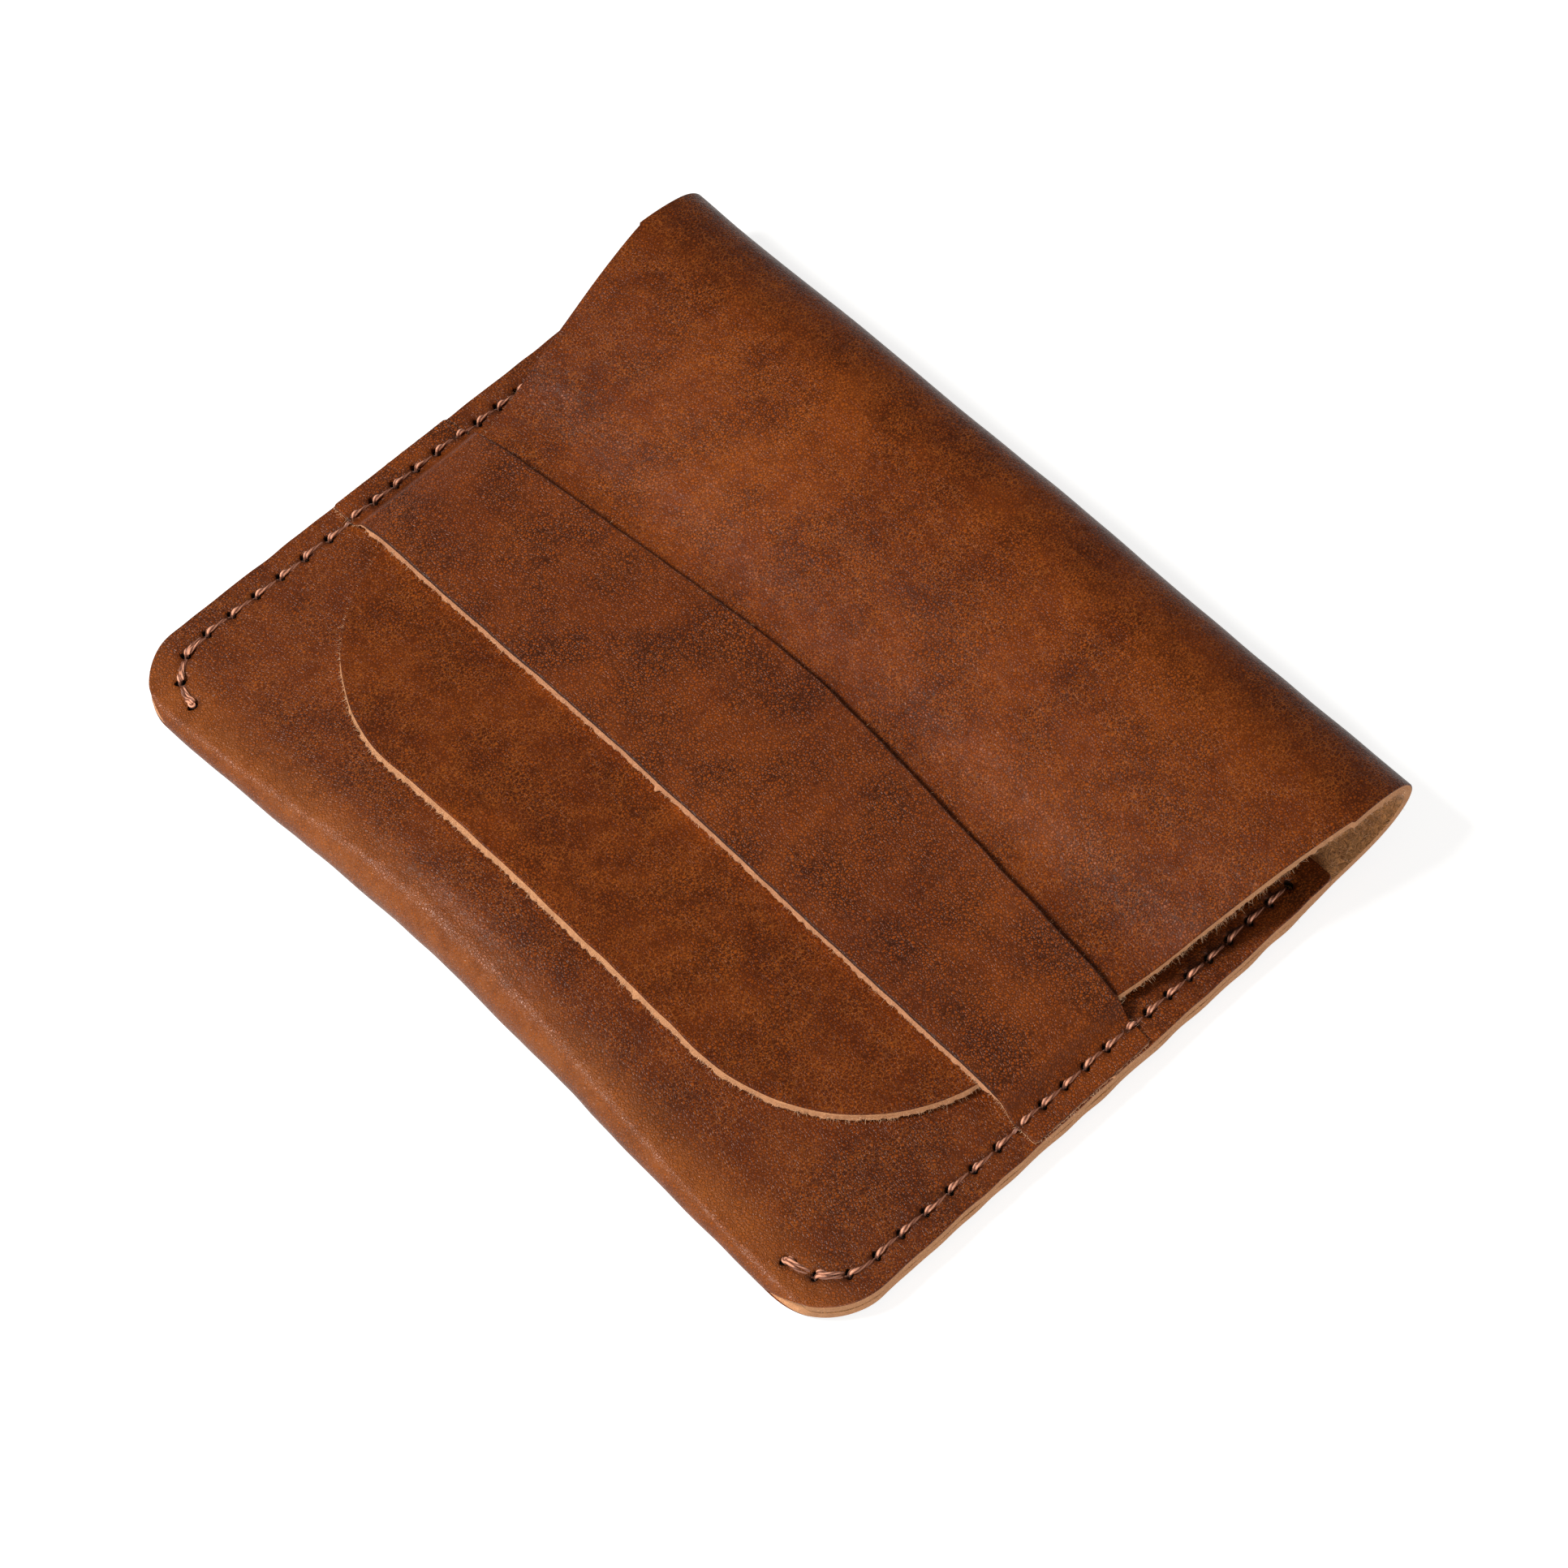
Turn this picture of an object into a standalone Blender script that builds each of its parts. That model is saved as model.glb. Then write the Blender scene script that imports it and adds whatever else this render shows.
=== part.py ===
"""Leather card holder with a tuck-in flap, closed and lying on its back.

One long strip of leather makes the whole pocket and flap: it runs from the pocket mouth down the
front, round the bottom fold, up the back, over the flap fold and down to the rounded flap end, which
is tucked under a stitched strap. The strip is divided where it bends, so that the flap can be
opened. X runs along the folds, Y from the bottom fold to the flap fold, Z up.
"""

import math

import bmesh
import bpy
import numpy as np

# Lengths are in millimetres here; build_mesh writes metres. Y is counted from the bottom fold.
MM = 0.001
Y_ORIGIN = 41.4516

# Leather strip
HALF_WIDTH = 52.5
LEATHER = 1.3
LAYER_GAP = 0.12
CORNER_RADIUS = 8.0
MARGIN_LIFT = 0.5
MARGIN_X = 47.5
MOUTH_Y = 71.6
SPLIT_Y = 11.5
SPLIT_GAP = 0.3

# Bottom fold: outer radius and pull-in, at the margins and where the pocket is fullest
FOLD_RADIUS_MARGIN = (2 * LEATHER + LAYER_GAP) / 2
FOLD_RADIUS_FULL = 3.35
FOLD_PULL_IN = 1.2
FULLEST_X = -6.0
BASE_SKEW = 0.007
BASE_SKEW_REACH = 30.0

# Top of the pocket front where it is fullest, as (Y, Z)
FRONT_CROWN = (
    (4.6, 6.7),
    (9.0, 6.65),
    (14.0, 6.15),
    (21.0, 5.4),
    (29.0, 4.9),
    (37.0, 4.72),
    (45.0, 4.7),
    (50.0, 4.76),
    (57.0, 5.2),
    (64.0, 5.9),
    (72.0, 6.6),
)

# Grain side of the flap fold in side view, from the back to the flap, as (Y, Z)
LOOP = (
    (58.0, 0.5),
    (66.0, 0.95),
    (73.0, 1.42),
    (78.4, 2.15),
    (81.7, 3.85),
    (83.2, 6.8),
    (82.1, 9.4),
    (78.6, 11.1),
    (74.0, 11.65),
    (68.0, 10.85),
    (60.0, 8.8),
    (54.0, 6.95),
)
LOOP_START_Y = 60.0
BACK_RISE_Y = (48.0, 60.0)

# Grain side of the flap below the fold, along its edges and along its middle, as (Y, Z)
FLAP_EDGE = (
    (11.0, 4.67),
    (30.0, 4.67),
    (40.0, 4.7),
    (44.0, 4.88),
    (48.0, 5.32),
    (52.0, 6.2),
    (56.0, 7.62),
    (60.0, 8.8),
    (68.0, 10.85),
    (74.0, 11.65),
)
FLAP_MIDDLE = (
    (46.0, 6.13),
    (49.0, 6.17),
    (52.0, 6.8),
    (56.0, 8.05),
    (60.0, 9.15),
    (68.0, 10.95),
    (74.0, 11.65),
)
FLAP_LEAVES_FRONT = (44.0, 48.0)

# Flap outline: tapering sides, straight end with large corner rounding
FLAP_HALF_WIDTH = 52.2
FLAP_TAPER = 0.178
FLAP_TAPER_X = 47.0
FLAP_TAPER_Y = 46.0
FLAP_END_Y = 11.9
FLAP_END_RADIUS = 22.0
TONGUE_SPLIT_Y = 50.6

# Living hinge: the fold turns through three equal steps
HINGE_TURN = math.radians(60.0)
HINGE_START_TURN = math.radians(8.0)
HINGE_RELIEF = math.radians(32.0)
HINGE_GAP = 0.12

# Strap with a shallow chevron upper edge and skived ends
STRAP_LOWER_Y = 29.35
STRAP_UPPER_Y = 45.3
STRAP_PEAK_Y = 49.5
STRAP_PEAK_ROUND = 6.0
STRAP_THIN_END = 0.4
STRAP_THIN_FROM = 43.0
STRAP_THIN_TO = 49.0
STRAP_DROP_FROM = 47.2
STRAP_DROP_TO = 49.2

# Side seams: hole spacing is given as (number of gaps, spacing) from the mouth down
SEAM_X = 49.8
SEAM_TOP_Y = 67.9
SEAM_CORNER_RADIUS = 5.8
SEAM_CORNER_CENTRE_Y = 8.9
STITCH_ZONES = ((8, 2.90), (5, 2.98), (9, 3.33))
HOLE_LONG = 0.78
HOLE_SHOULDER = 0.36
HOLE_WIDE = 0.37
HOLE_SLANT = math.radians(8.0)
THREAD_RADIUS = 0.22
STRAND_OFFSET = 0.27
THREAD_CLEARANCE = 0.03
THREAD_SIDES = 5

# Mesh density
COLUMNS = 18
LINK_ROWS = 9
LOOP_SAMPLES = 6000
HINGE_WINDOW = 600
LEATHER_COLOUR = (0.30, 0.10, 0.035, 1.0)
STRAP_COLOUR = (0.26, 0.085, 0.03, 1.0)
THREAD_COLOUR = (0.55, 0.26, 0.17, 1.0)


def smoothstep(value, start, end):
    t = np.clip((value - start) / (end - start), 0.0, 1.0)
    return t * t * (3.0 - 2.0 * t)


class Spline:
    """Natural cubic spline through points, by chord length."""

    def __init__(self, points):
        self.points = np.array(points, float)
        steps = np.linalg.norm(np.diff(self.points, axis=0), axis=1)
        self.knots = np.concatenate([[0.0], np.cumsum(steps)])
        count = len(points)
        matrix = np.eye(count)
        rise = np.zeros((count, self.points.shape[1]))
        for i in range(1, count - 1):
            before, after = steps[i - 1], steps[i]
            matrix[i, i - 1 : i + 2] = before, 2 * (before + after), after
            rise[i] = 6 * (
                (self.points[i + 1] - self.points[i]) / after
                - (self.points[i] - self.points[i - 1]) / before
            )
        self.bend = np.linalg.solve(matrix, rise)

    def __call__(self, at):
        at = np.atleast_1d(at)
        i = np.clip(np.searchsorted(self.knots, at) - 1, 0, len(self.knots) - 2)
        step = (self.knots[i + 1] - self.knots[i])[:, None]
        right = (at - self.knots[i])[:, None] / step
        left = 1.0 - right
        return (
            left * self.points[i]
            + right * self.points[i + 1]
            + ((left**3 - left) * self.bend[i] + (right**3 - right) * self.bend[i + 1])
            * step**2
            / 6.0
        )


def height_table(points):
    """Z as a function of Y along a side view curve that never turns back."""
    spline = Spline(points)
    samples = spline(np.linspace(0.0, spline.knots[-1], 600))
    order = np.argsort(samples[:, 0])
    return samples[order]


FRONT_TABLE = height_table(FRONT_CROWN)
EDGE_TABLE = height_table(FLAP_EDGE)
MIDDLE_TABLE = height_table(FLAP_MIDDLE)
LOOP_SPLINE = Spline(LOOP)
TAIL_TABLE = LOOP_SPLINE(np.linspace(0.0, LOOP_SPLINE.knots[3], 200))


def fullness(x):
    """How full the pocket is at x: 0 on the stitched margins, 1 where it is fullest."""
    x = np.asarray(x, float)
    reach = np.where(x < FULLEST_X, MARGIN_X + FULLEST_X, MARGIN_X - FULLEST_X)
    t = np.clip(np.abs(x - FULLEST_X) / reach, 0.0, 1.0)
    return np.cos(0.5 * np.pi * t) ** 2


def margin_top():
    return MARGIN_LIFT + 2 * LEATHER + LAYER_GAP


def tail_rise(y):
    """How far the back has risen towards the flap fold."""
    return np.interp(y, TAIL_TABLE[:, 0], TAIL_TABLE[:, 1], left=MARGIN_LIFT) - MARGIN_LIFT


def front_z(x, y):
    """Grain side of the pocket front."""
    crown = np.interp(y, FRONT_TABLE[:, 0], FRONT_TABLE[:, 1])
    margin = margin_top() + tail_rise(y)
    return margin + fullness(x) * (crown - margin)


def back_z(x, y):
    """Grain side of the back, which is the underside."""
    lifted = smoothstep(y, *BACK_RISE_Y)
    middle = np.minimum(fullness(x) * 1.6, 1.0)
    return MARGIN_LIFT * (1.0 - middle * (1.0 - lifted)) + tail_rise(y)


def flap_z(x, y):
    """Grain side of the flap and its end."""
    edge = np.interp(y, EDGE_TABLE[:, 0], EDGE_TABLE[:, 1])
    resting = front_z(0.0 * x + FULLEST_X, y) + LAYER_GAP + LEATHER
    free = np.interp(y, MIDDLE_TABLE[:, 0], MIDDLE_TABLE[:, 1])
    middle = resting + smoothstep(y, *FLAP_LEAVES_FRONT) * (free - resting)
    return edge + fullness(x) * (middle - edge)


def skewed(x, y):
    """The bottom of the pocket runs slightly out of square."""
    return y + BASE_SKEW * x * np.clip(1.0 - y / BASE_SKEW_REACH, 0.0, 1.0)


def pocket_half_width(y):
    """Outline of the pocket, with rounded bottom corners."""
    below = np.clip(CORNER_RADIUS - y, 0.0, CORNER_RADIUS)
    return HALF_WIDTH - CORNER_RADIUS + np.sqrt(CORNER_RADIUS**2 - below**2)


def flap_half_width(y):
    """Outline of the flap: tapering sides and a rounded end."""
    taper = FLAP_TAPER_X + FLAP_TAPER * (np.asarray(y, float) - FLAP_TAPER_Y)
    side = np.minimum(taper, FLAP_HALF_WIDTH)
    lean = math.atan(FLAP_TAPER)
    centre_y = FLAP_END_Y + FLAP_END_RADIUS
    on_side = FLAP_TAPER_X + FLAP_TAPER * (centre_y - FLAP_TAPER_Y)
    centre_x = on_side - FLAP_END_RADIUS / math.cos(lean)
    touch_y = centre_y - FLAP_END_RADIUS * math.sin(lean)
    below = np.clip(centre_y - y, 0.0, FLAP_END_RADIUS)
    arc = centre_x + np.sqrt(FLAP_END_RADIUS**2 - below**2)
    return np.where(y < touch_y, arc, side)


def material(name, colour, roughness):
    made = bpy.data.materials.new(name)
    made.use_nodes = True
    shader = made.node_tree.nodes["Principled BSDF"]
    shader.inputs["Base Color"].default_value = colour
    shader.inputs["Roughness"].default_value = roughness
    return made


def build_mesh(name, vertices, faces, made_of, axis=(Y_ORIGIN, 0.0)):
    """An object whose origin lies at the given (Y, Z) on the middle plane."""
    mesh = bpy.data.meshes.new(name)
    origin = np.array([0.0, axis[0], axis[1]])
    mesh.from_pydata(((np.array(vertices) - origin) * MM).tolist(), [], faces)
    work = bmesh.new()
    work.from_mesh(mesh)
    bmesh.ops.recalc_face_normals(work, faces=work.faces)
    work.to_mesh(mesh)
    work.free()
    mesh.materials.append(made_of)
    obj = bpy.data.objects.new(name, mesh)
    obj.location = (origin - (0.0, Y_ORIGIN, 0.0)) * MM
    bpy.context.scene.collection.objects.link(obj)
    return obj


def flesh_side(grain, outward, thickness):
    """The other side of a sheet whose grain side is a grid of points."""
    along = np.gradient(grain, axis=0)
    across = np.gradient(grain, axis=1)
    normal = np.cross(along, across)
    normal /= np.linalg.norm(normal, axis=2)[:, :, None]
    if np.sum(normal[len(grain) // 2, grain.shape[1] // 2] * outward) < 0:
        normal = -normal
    return grain - normal * np.asarray(thickness)[..., None]


def sheet(name, grain, flesh, made_of, first_nose=None, last_nose=None, axis=(Y_ORIGIN, 0.0)):
    """A closed sheet between two grids. A nose is a row that an end wall passes through."""
    rows, columns = grain.shape[:2]
    vertices = np.concatenate([grain.reshape(-1, 3), flesh.reshape(-1, 3)])
    inner = rows * columns
    faces = []
    for i in range(rows - 1):
        for j in range(columns - 1):
            a = i * columns + j
            quad = (a, a + 1, a + columns + 1, a + columns)
            faces.append(quad)
            faces.append(tuple(v + inner for v in reversed(quad)))
    for i in range(rows - 1):
        for a in (i * columns, i * columns + columns - 1):
            faces.append((a, a + columns, a + columns + inner, a + inner))
    for nose, start in ((first_nose, 0), (last_nose, (rows - 1) * columns)):
        if nose is None:
            for j in range(columns - 1):
                a = start + j
                faces.append((a, a + 1, a + 1 + inner, a + inner))
            continue
        base = len(vertices)
        vertices = np.concatenate([vertices, nose])
        for j in range(columns - 1):
            a = start + j
            faces.append((a, a + 1, base + j + 1, base + j))
            faces.append((base + j, base + j + 1, a + 1 + inner, a + inner))
        for j in (0, columns - 1):
            faces.append((start + j, base + j, start + j + inner))
    return build_mesh(name, vertices, faces, made_of, axis)


def spread(count=COLUMNS):
    """Positions across a sheet from -1 to 1, closer together near the edges."""
    t = np.linspace(-1.0, 1.0, count + 1)
    return 0.55 * t + 0.45 * np.sin(0.5 * np.pi * t)


def front_rows(values, half_width, height):
    """Grain points of a sheet that is seen from above, as rows of constant Y."""
    y = np.asarray(values, float)[:, None] + 0.0 * spread()[None, :]
    x = half_width(np.asarray(values, float))[:, None] * spread()[None, :]
    return np.stack([x, skewed(x, y), height(x, y)], axis=2)


def build_front_panel(made_of):
    values = np.concatenate(
        [np.linspace(SPLIT_Y + SPLIT_GAP / 2, 30.0, 6), np.linspace(35.0, MOUTH_Y, 9)]
    )
    grain = front_rows(values, pocket_half_width, front_z)
    flesh = flesh_side(grain, (0, 0, 1), np.full(grain.shape[:2], LEATHER))
    return sheet("front_panel", grain, flesh, made_of)


def fold_section(x):
    """Bottom fold at x: outer radius and outermost Y."""
    share = fullness(x)
    radius = FOLD_RADIUS_MARGIN + share * (FOLD_RADIUS_FULL - FOLD_RADIUS_MARGIN)
    return radius, FOLD_PULL_IN * share


def fold_layer(shares, height):
    """Rows of the front or back layer between the half turn and the split."""
    end = SPLIT_Y - SPLIT_GAP / 2
    rows = []
    for share in shares:
        y_edge = end + share * (FOLD_RADIUS_MARGIN - end)
        x = pocket_half_width(y_edge) * spread()
        radius, outermost = fold_section(x)
        y = end + share * (outermost + radius - end)
        rows.append(np.stack([x, y, height(x, y)], axis=1))
    return rows


def build_pocket_fold(made_of):
    """Channel round the bottom: front layer, half turn, back layer."""
    shares = np.array([0.0, 0.3, 0.5, 0.65, 0.77, 0.87, 0.94])
    rows = fold_layer(shares, front_z)
    for angle in np.linspace(0.0, math.pi, 11):
        y_edge = FOLD_RADIUS_MARGIN * (1.0 - math.sin(angle))
        x = pocket_half_width(y_edge) * spread()
        radius, outermost = fold_section(x)
        top = front_z(x, outermost + radius)
        bottom = back_z(x, outermost + radius)
        y = outermost + radius * (1.0 - math.sin(angle))
        z = 0.5 * (top + bottom) + 0.5 * (top - bottom) * math.cos(angle)
        rows.append(np.stack([x, y, z], axis=1))
    rows += fold_layer(shares[::-1], back_z)
    grain = np.array(rows)
    grain[:, :, 1] = skewed(grain[:, :, 0], grain[:, :, 1])
    flesh = flesh_side(grain, (0, -1, 0), np.full(grain.shape[:2], LEATHER))
    return sheet("pocket_fold", grain, flesh, made_of)


def loop_frames():
    """The flap fold's neutral line in side view: position, tangent angle and arc length."""
    at = np.linspace(0.0, LOOP_SPLINE.knots[-1], LOOP_SAMPLES)
    outer = LOOP_SPLINE(at)
    tangent = np.gradient(outer, axis=0)
    tangent /= np.linalg.norm(tangent, axis=1)[:, None]
    inward = np.stack([-tangent[:, 1], tangent[:, 0]], axis=1)
    neutral = outer + 0.5 * LEATHER * inward
    length = np.concatenate(
        [[0.0], np.cumsum(np.linalg.norm(np.diff(neutral, axis=0), axis=1))]
    )
    angle = np.unwrap(np.arctan2(tangent[:, 1], tangent[:, 0]))
    return outer, neutral, inward, angle, length


def station_at_turn(angle, turn):
    """Index where the fold has turned this far, past the gentle rise of the back."""
    return int(np.argmax(angle >= turn))


def hinge_axes():
    """Axis of each living hinge, so that the opened strip keeps its length and lies flat."""
    _, neutral, _, angle, length = loop_frames()
    axes = []
    for k in range(3):
        a = station_at_turn(angle, HINGE_START_TURN + k * HINGE_TURN)
        b = station_at_turn(angle, HINGE_START_TURN + (k + 1) * HINGE_TURN)
        start = neutral[a]
        along = np.array([math.cos(angle[a]), math.sin(angle[a])])
        opened = start + (length[b] - length[a]) * along
        c, s = math.cos(HINGE_TURN), math.sin(HINGE_TURN)
        turn_back = np.array([[c, s], [-s, c]])
        centre = np.linalg.solve(np.eye(2) - turn_back, opened - turn_back @ neutral[b])
        axes.append(centre)
    return axes


def cut_at_hinge(axis):
    """Where a hinge divides the fold: indices along it of the relieved and of the close cuts."""
    outer, neutral, inward, _, _ = loop_frames()
    nearest = int(np.argmin(np.linalg.norm(neutral - axis, axis=1)))
    normal = inward[nearest]
    along = np.array([normal[1], -normal[0]])
    depth_out = -np.dot(outer[nearest] - axis, normal)
    reach_out = HINGE_GAP + depth_out * math.tan(HINGE_RELIEF)
    nose = axis - HINGE_GAP * along, axis + HINGE_GAP * along
    offset = (outer - axis) @ along
    near = slice(nearest - HINGE_WINDOW, nearest + HINGE_WINDOW)
    before = near.start + int(np.argmin(np.abs(offset[near] + reach_out)))
    after = near.start + int(np.argmin(np.abs(offset[near] - reach_out)))
    return before, after, nose, (nearest, along)


def build_fold_link(name, first, last, made_of):
    """A stiff link of the flap fold between two hinge axes, hung on the first."""
    outer, _, inward, _, _ = loop_frames()
    _, start, (_, nose_a), (near_a, along_a) = cut_at_hinge(first)
    end, _, (nose_b, _), (near_b, along_b) = cut_at_hinge(last)
    picks = np.linspace(start, end, LINK_ROWS).round().astype(int)
    grain_2d = outer[picks]
    flesh_2d = outer[picks] + LEATHER * inward[picks]
    flesh_2d[0] = outer[near_a] + LEATHER * inward[near_a] + HINGE_GAP * along_a
    flesh_2d[-1] = outer[near_b] + LEATHER * inward[near_b] - HINGE_GAP * along_b
    x = FLAP_HALF_WIDTH * spread(8)
    grain = np.array([[(u, p[0], p[1]) for u in x] for p in grain_2d])
    flesh = np.array([[(u, p[0], p[1]) for u in x] for p in flesh_2d])
    nose_first = np.array([(u, nose_a[0], nose_a[1]) for u in x])
    nose_last = np.array([(u, nose_b[0], nose_b[1]) for u in x])
    return sheet(name, grain, flesh, made_of, nose_first, nose_last, axis=first)


def build_back_panel(axis, made_of):
    outer, _, inward, _, _ = loop_frames()
    end, _, (nose, _), (near, along) = cut_at_hinge(axis)
    values = np.concatenate(
        [
            np.linspace(SPLIT_Y + SPLIT_GAP / 2, 44.0, 4),
            np.linspace(48.0, LOOP_START_Y, 5),
            np.linspace(LOOP_START_Y + 2.5, outer[end][0], 7),
        ]
    )
    grain = front_rows(values, pocket_half_width, back_z)
    grain[-1, :, 2] = outer[end][1]
    flesh = flesh_side(grain, (0, 0, -1), np.full(grain.shape[:2], LEATHER))
    corner = outer[near] + LEATHER * inward[near] - HINGE_GAP * along
    flesh[-1, :, 1:] = corner
    x = grain[-1, :, 0]
    flesh[-1, :, 0] = x
    noses = np.stack([x, 0 * x + nose[0], 0 * x + nose[1]], axis=1)
    return sheet("back_panel", grain, flesh, made_of, last_nose=noses)


def build_flap_panel(axis, made_of):
    outer, _, inward, _, _ = loop_frames()
    _, start, (_, nose), (near, along) = cut_at_hinge(axis)
    values = np.concatenate(
        [[outer[start][0]], np.linspace(73.5, TONGUE_SPLIT_Y, 14)]
    )
    grain = front_rows(values, flap_half_width, flap_z)
    grain[0, :, 2] = outer[start][1]
    flesh = flesh_side(grain, (0, 0, 1), np.full(grain.shape[:2], LEATHER))
    corner = outer[near] + LEATHER * inward[near] + HINGE_GAP * along
    flesh[0, :, 1:] = corner
    x = grain[0, :, 0]
    flesh[0, :, 0] = x
    noses = np.stack([x, 0 * x + nose[0], 0 * x + nose[1]], axis=1)
    return sheet("flap_panel", grain, flesh, made_of, first_nose=noses, axis=axis)


def build_flap_tongue(axis, made_of):
    angles = np.linspace(math.radians(8.0), math.radians(80.0), 9)
    rounding = FLAP_END_Y + FLAP_END_RADIUS * (1.0 - np.cos(angles))
    values = np.concatenate(
        [[FLAP_END_Y], rounding, np.linspace(33.0, TONGUE_SPLIT_Y - SPLIT_GAP, 9)]
    )
    grain = front_rows(values, flap_half_width, flap_z)
    flesh = flesh_side(grain, (0, 0, 1), np.full(grain.shape[:2], LEATHER))
    return sheet("flap_tongue", grain, flesh, made_of, axis=axis)


def strap_upper(x):
    """Shallow chevron with a rounded peak."""
    rounded = np.sqrt(x**2 + STRAP_PEAK_ROUND**2) - STRAP_PEAK_ROUND
    most = math.sqrt(HALF_WIDTH**2 + STRAP_PEAK_ROUND**2) - STRAP_PEAK_ROUND
    return STRAP_PEAK_Y - (STRAP_PEAK_Y - STRAP_UPPER_Y) * rounded / most


def strap_thickness(x):
    thin = smoothstep(np.abs(x), STRAP_THIN_FROM, STRAP_THIN_TO)
    return LEATHER + thin * (STRAP_THIN_END - LEATHER)


def strap_underside(x, y):
    """The strap lies on the flap in the middle and on the pocket margins at its ends."""
    on_front = front_z(x, y) + LAYER_GAP
    inside = np.sign(x) * np.minimum(np.abs(x), STRAP_DROP_FROM)
    on_flap = np.maximum(flap_z(inside, np.minimum(y, 49.0)), flap_z(inside, 44.0 + 0 * y))
    drop = smoothstep(np.abs(x), STRAP_DROP_FROM, STRAP_DROP_TO)
    return on_flap + LAYER_GAP + drop * (on_front - on_flap - LAYER_GAP)


def strap_columns():
    outer = np.array([47.3, 47.8, 48.3, 48.8, 49.3, 50.6, HALF_WIDTH])
    middle = np.linspace(-46.7, 46.7, 25)
    return np.concatenate([-outer[::-1], middle, outer])


def build_strap(made_of):
    x = strap_columns()[None, :] + np.zeros((7, 1))
    share = np.linspace(0.0, 1.0, 7)[:, None]
    y = STRAP_LOWER_Y + share * (strap_upper(x) - STRAP_LOWER_Y)
    under = strap_underside(x, y)
    top = under + strap_thickness(x)
    grain = np.stack([x, y, top], axis=2)
    flesh = np.stack([x, y, under], axis=2)
    return sheet("strap", grain, flesh, made_of)


def seam_point(distance):
    """Place on the right-hand seam line and its direction, from the mouth down."""
    straight = SEAM_TOP_Y - SEAM_CORNER_CENTRE_Y
    if distance <= straight:
        return np.array([SEAM_X, SEAM_TOP_Y - distance]), np.array([0.0, -1.0])
    angle = (distance - straight) / SEAM_CORNER_RADIUS
    centre = np.array([SEAM_X - SEAM_CORNER_RADIUS, SEAM_CORNER_CENTRE_Y])
    place = centre + SEAM_CORNER_RADIUS * np.array([math.cos(angle), -math.sin(angle)])
    return place, np.array([-math.sin(angle), -math.cos(angle)])


def hole_distances():
    distances = [0.0]
    for gaps, spacing in STITCH_ZONES:
        distances += [distances[-1] + spacing * (k + 1) for k in range(gaps)]
    return distances


def seam_top_z(x, y):
    """Upper surface under the thread, eased over the strap edges."""
    cover = smoothstep(y, STRAP_LOWER_Y - 0.9, STRAP_LOWER_Y - 0.4)
    cover = cover * (1.0 - smoothstep(y, STRAP_UPPER_Y + 0.4, STRAP_UPPER_Y + 0.9))
    on_strap = strap_underside(x, np.clip(y, STRAP_LOWER_Y, STRAP_UPPER_Y)) + strap_thickness(x)
    bare = front_z(x, y)
    return bare + cover * (on_strap - bare)


def build_hole_cutter(name, side):
    """Slanted prick holes for one seam."""
    outline = (
        (HOLE_LONG, 0.0),
        (HOLE_SHOULDER, HOLE_WIDE),
        (-HOLE_SHOULDER, HOLE_WIDE),
        (-HOLE_LONG, 0.0),
        (-HOLE_SHOULDER, -HOLE_WIDE),
        (HOLE_SHOULDER, -HOLE_WIDE),
    )
    vertices = []
    faces = []
    for distance in hole_distances():
        place, along = seam_point(distance)
        across = np.array([-along[1], along[0]])
        long_way = math.cos(HOLE_SLANT) * across + math.sin(HOLE_SLANT) * along
        short_way = np.array([-long_way[1], long_way[0]])
        base = len(vertices)
        for z in (-1.0, 9.0):
            for u, v in outline:
                x, y = place + u * long_way + v * short_way
                vertices.append((side * x, skewed(side * x, y), z))
        count = len(outline)
        faces.append(tuple(base + k for k in range(count)))
        faces.append(tuple(base + count + k for k in range(count)))
        for k in range(count):
            after = (k + 1) % count
            faces.append((base + k, base + after, base + count + after, base + count + k))
    cutter = build_mesh(name, vertices, faces, bpy.data.materials["leather"])
    cutter.hide_render = True
    cutter.display_type = "WIRE"
    return cutter


def strand(side, offset, top_first):
    """One strand of a saddle stitch: over, through, under, through."""
    stations = hole_distances()
    path = []
    on_top = top_first
    for first, last in zip(stations, stations[1:]):
        for share in (0.0, 0.5, 1.0):
            inset = THREAD_RADIUS * (1.0 - 2.0 * share) * 0.2
            place, along = seam_point(first + share * (last - first) + inset)
            across = np.array([-along[1], along[0]])
            slant = math.cos(HOLE_SLANT) * across + math.sin(HOLE_SLANT) * along
            x, y = place + offset * slant
            surface = seam_top_z(x, y) if on_top else back_z(x, y)
            lift = THREAD_RADIUS + THREAD_CLEARANCE
            z = surface + lift if on_top else surface - lift
            path.append((side * x, float(skewed(side * x, y)), float(z)))
        on_top = not on_top
    return path


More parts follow.
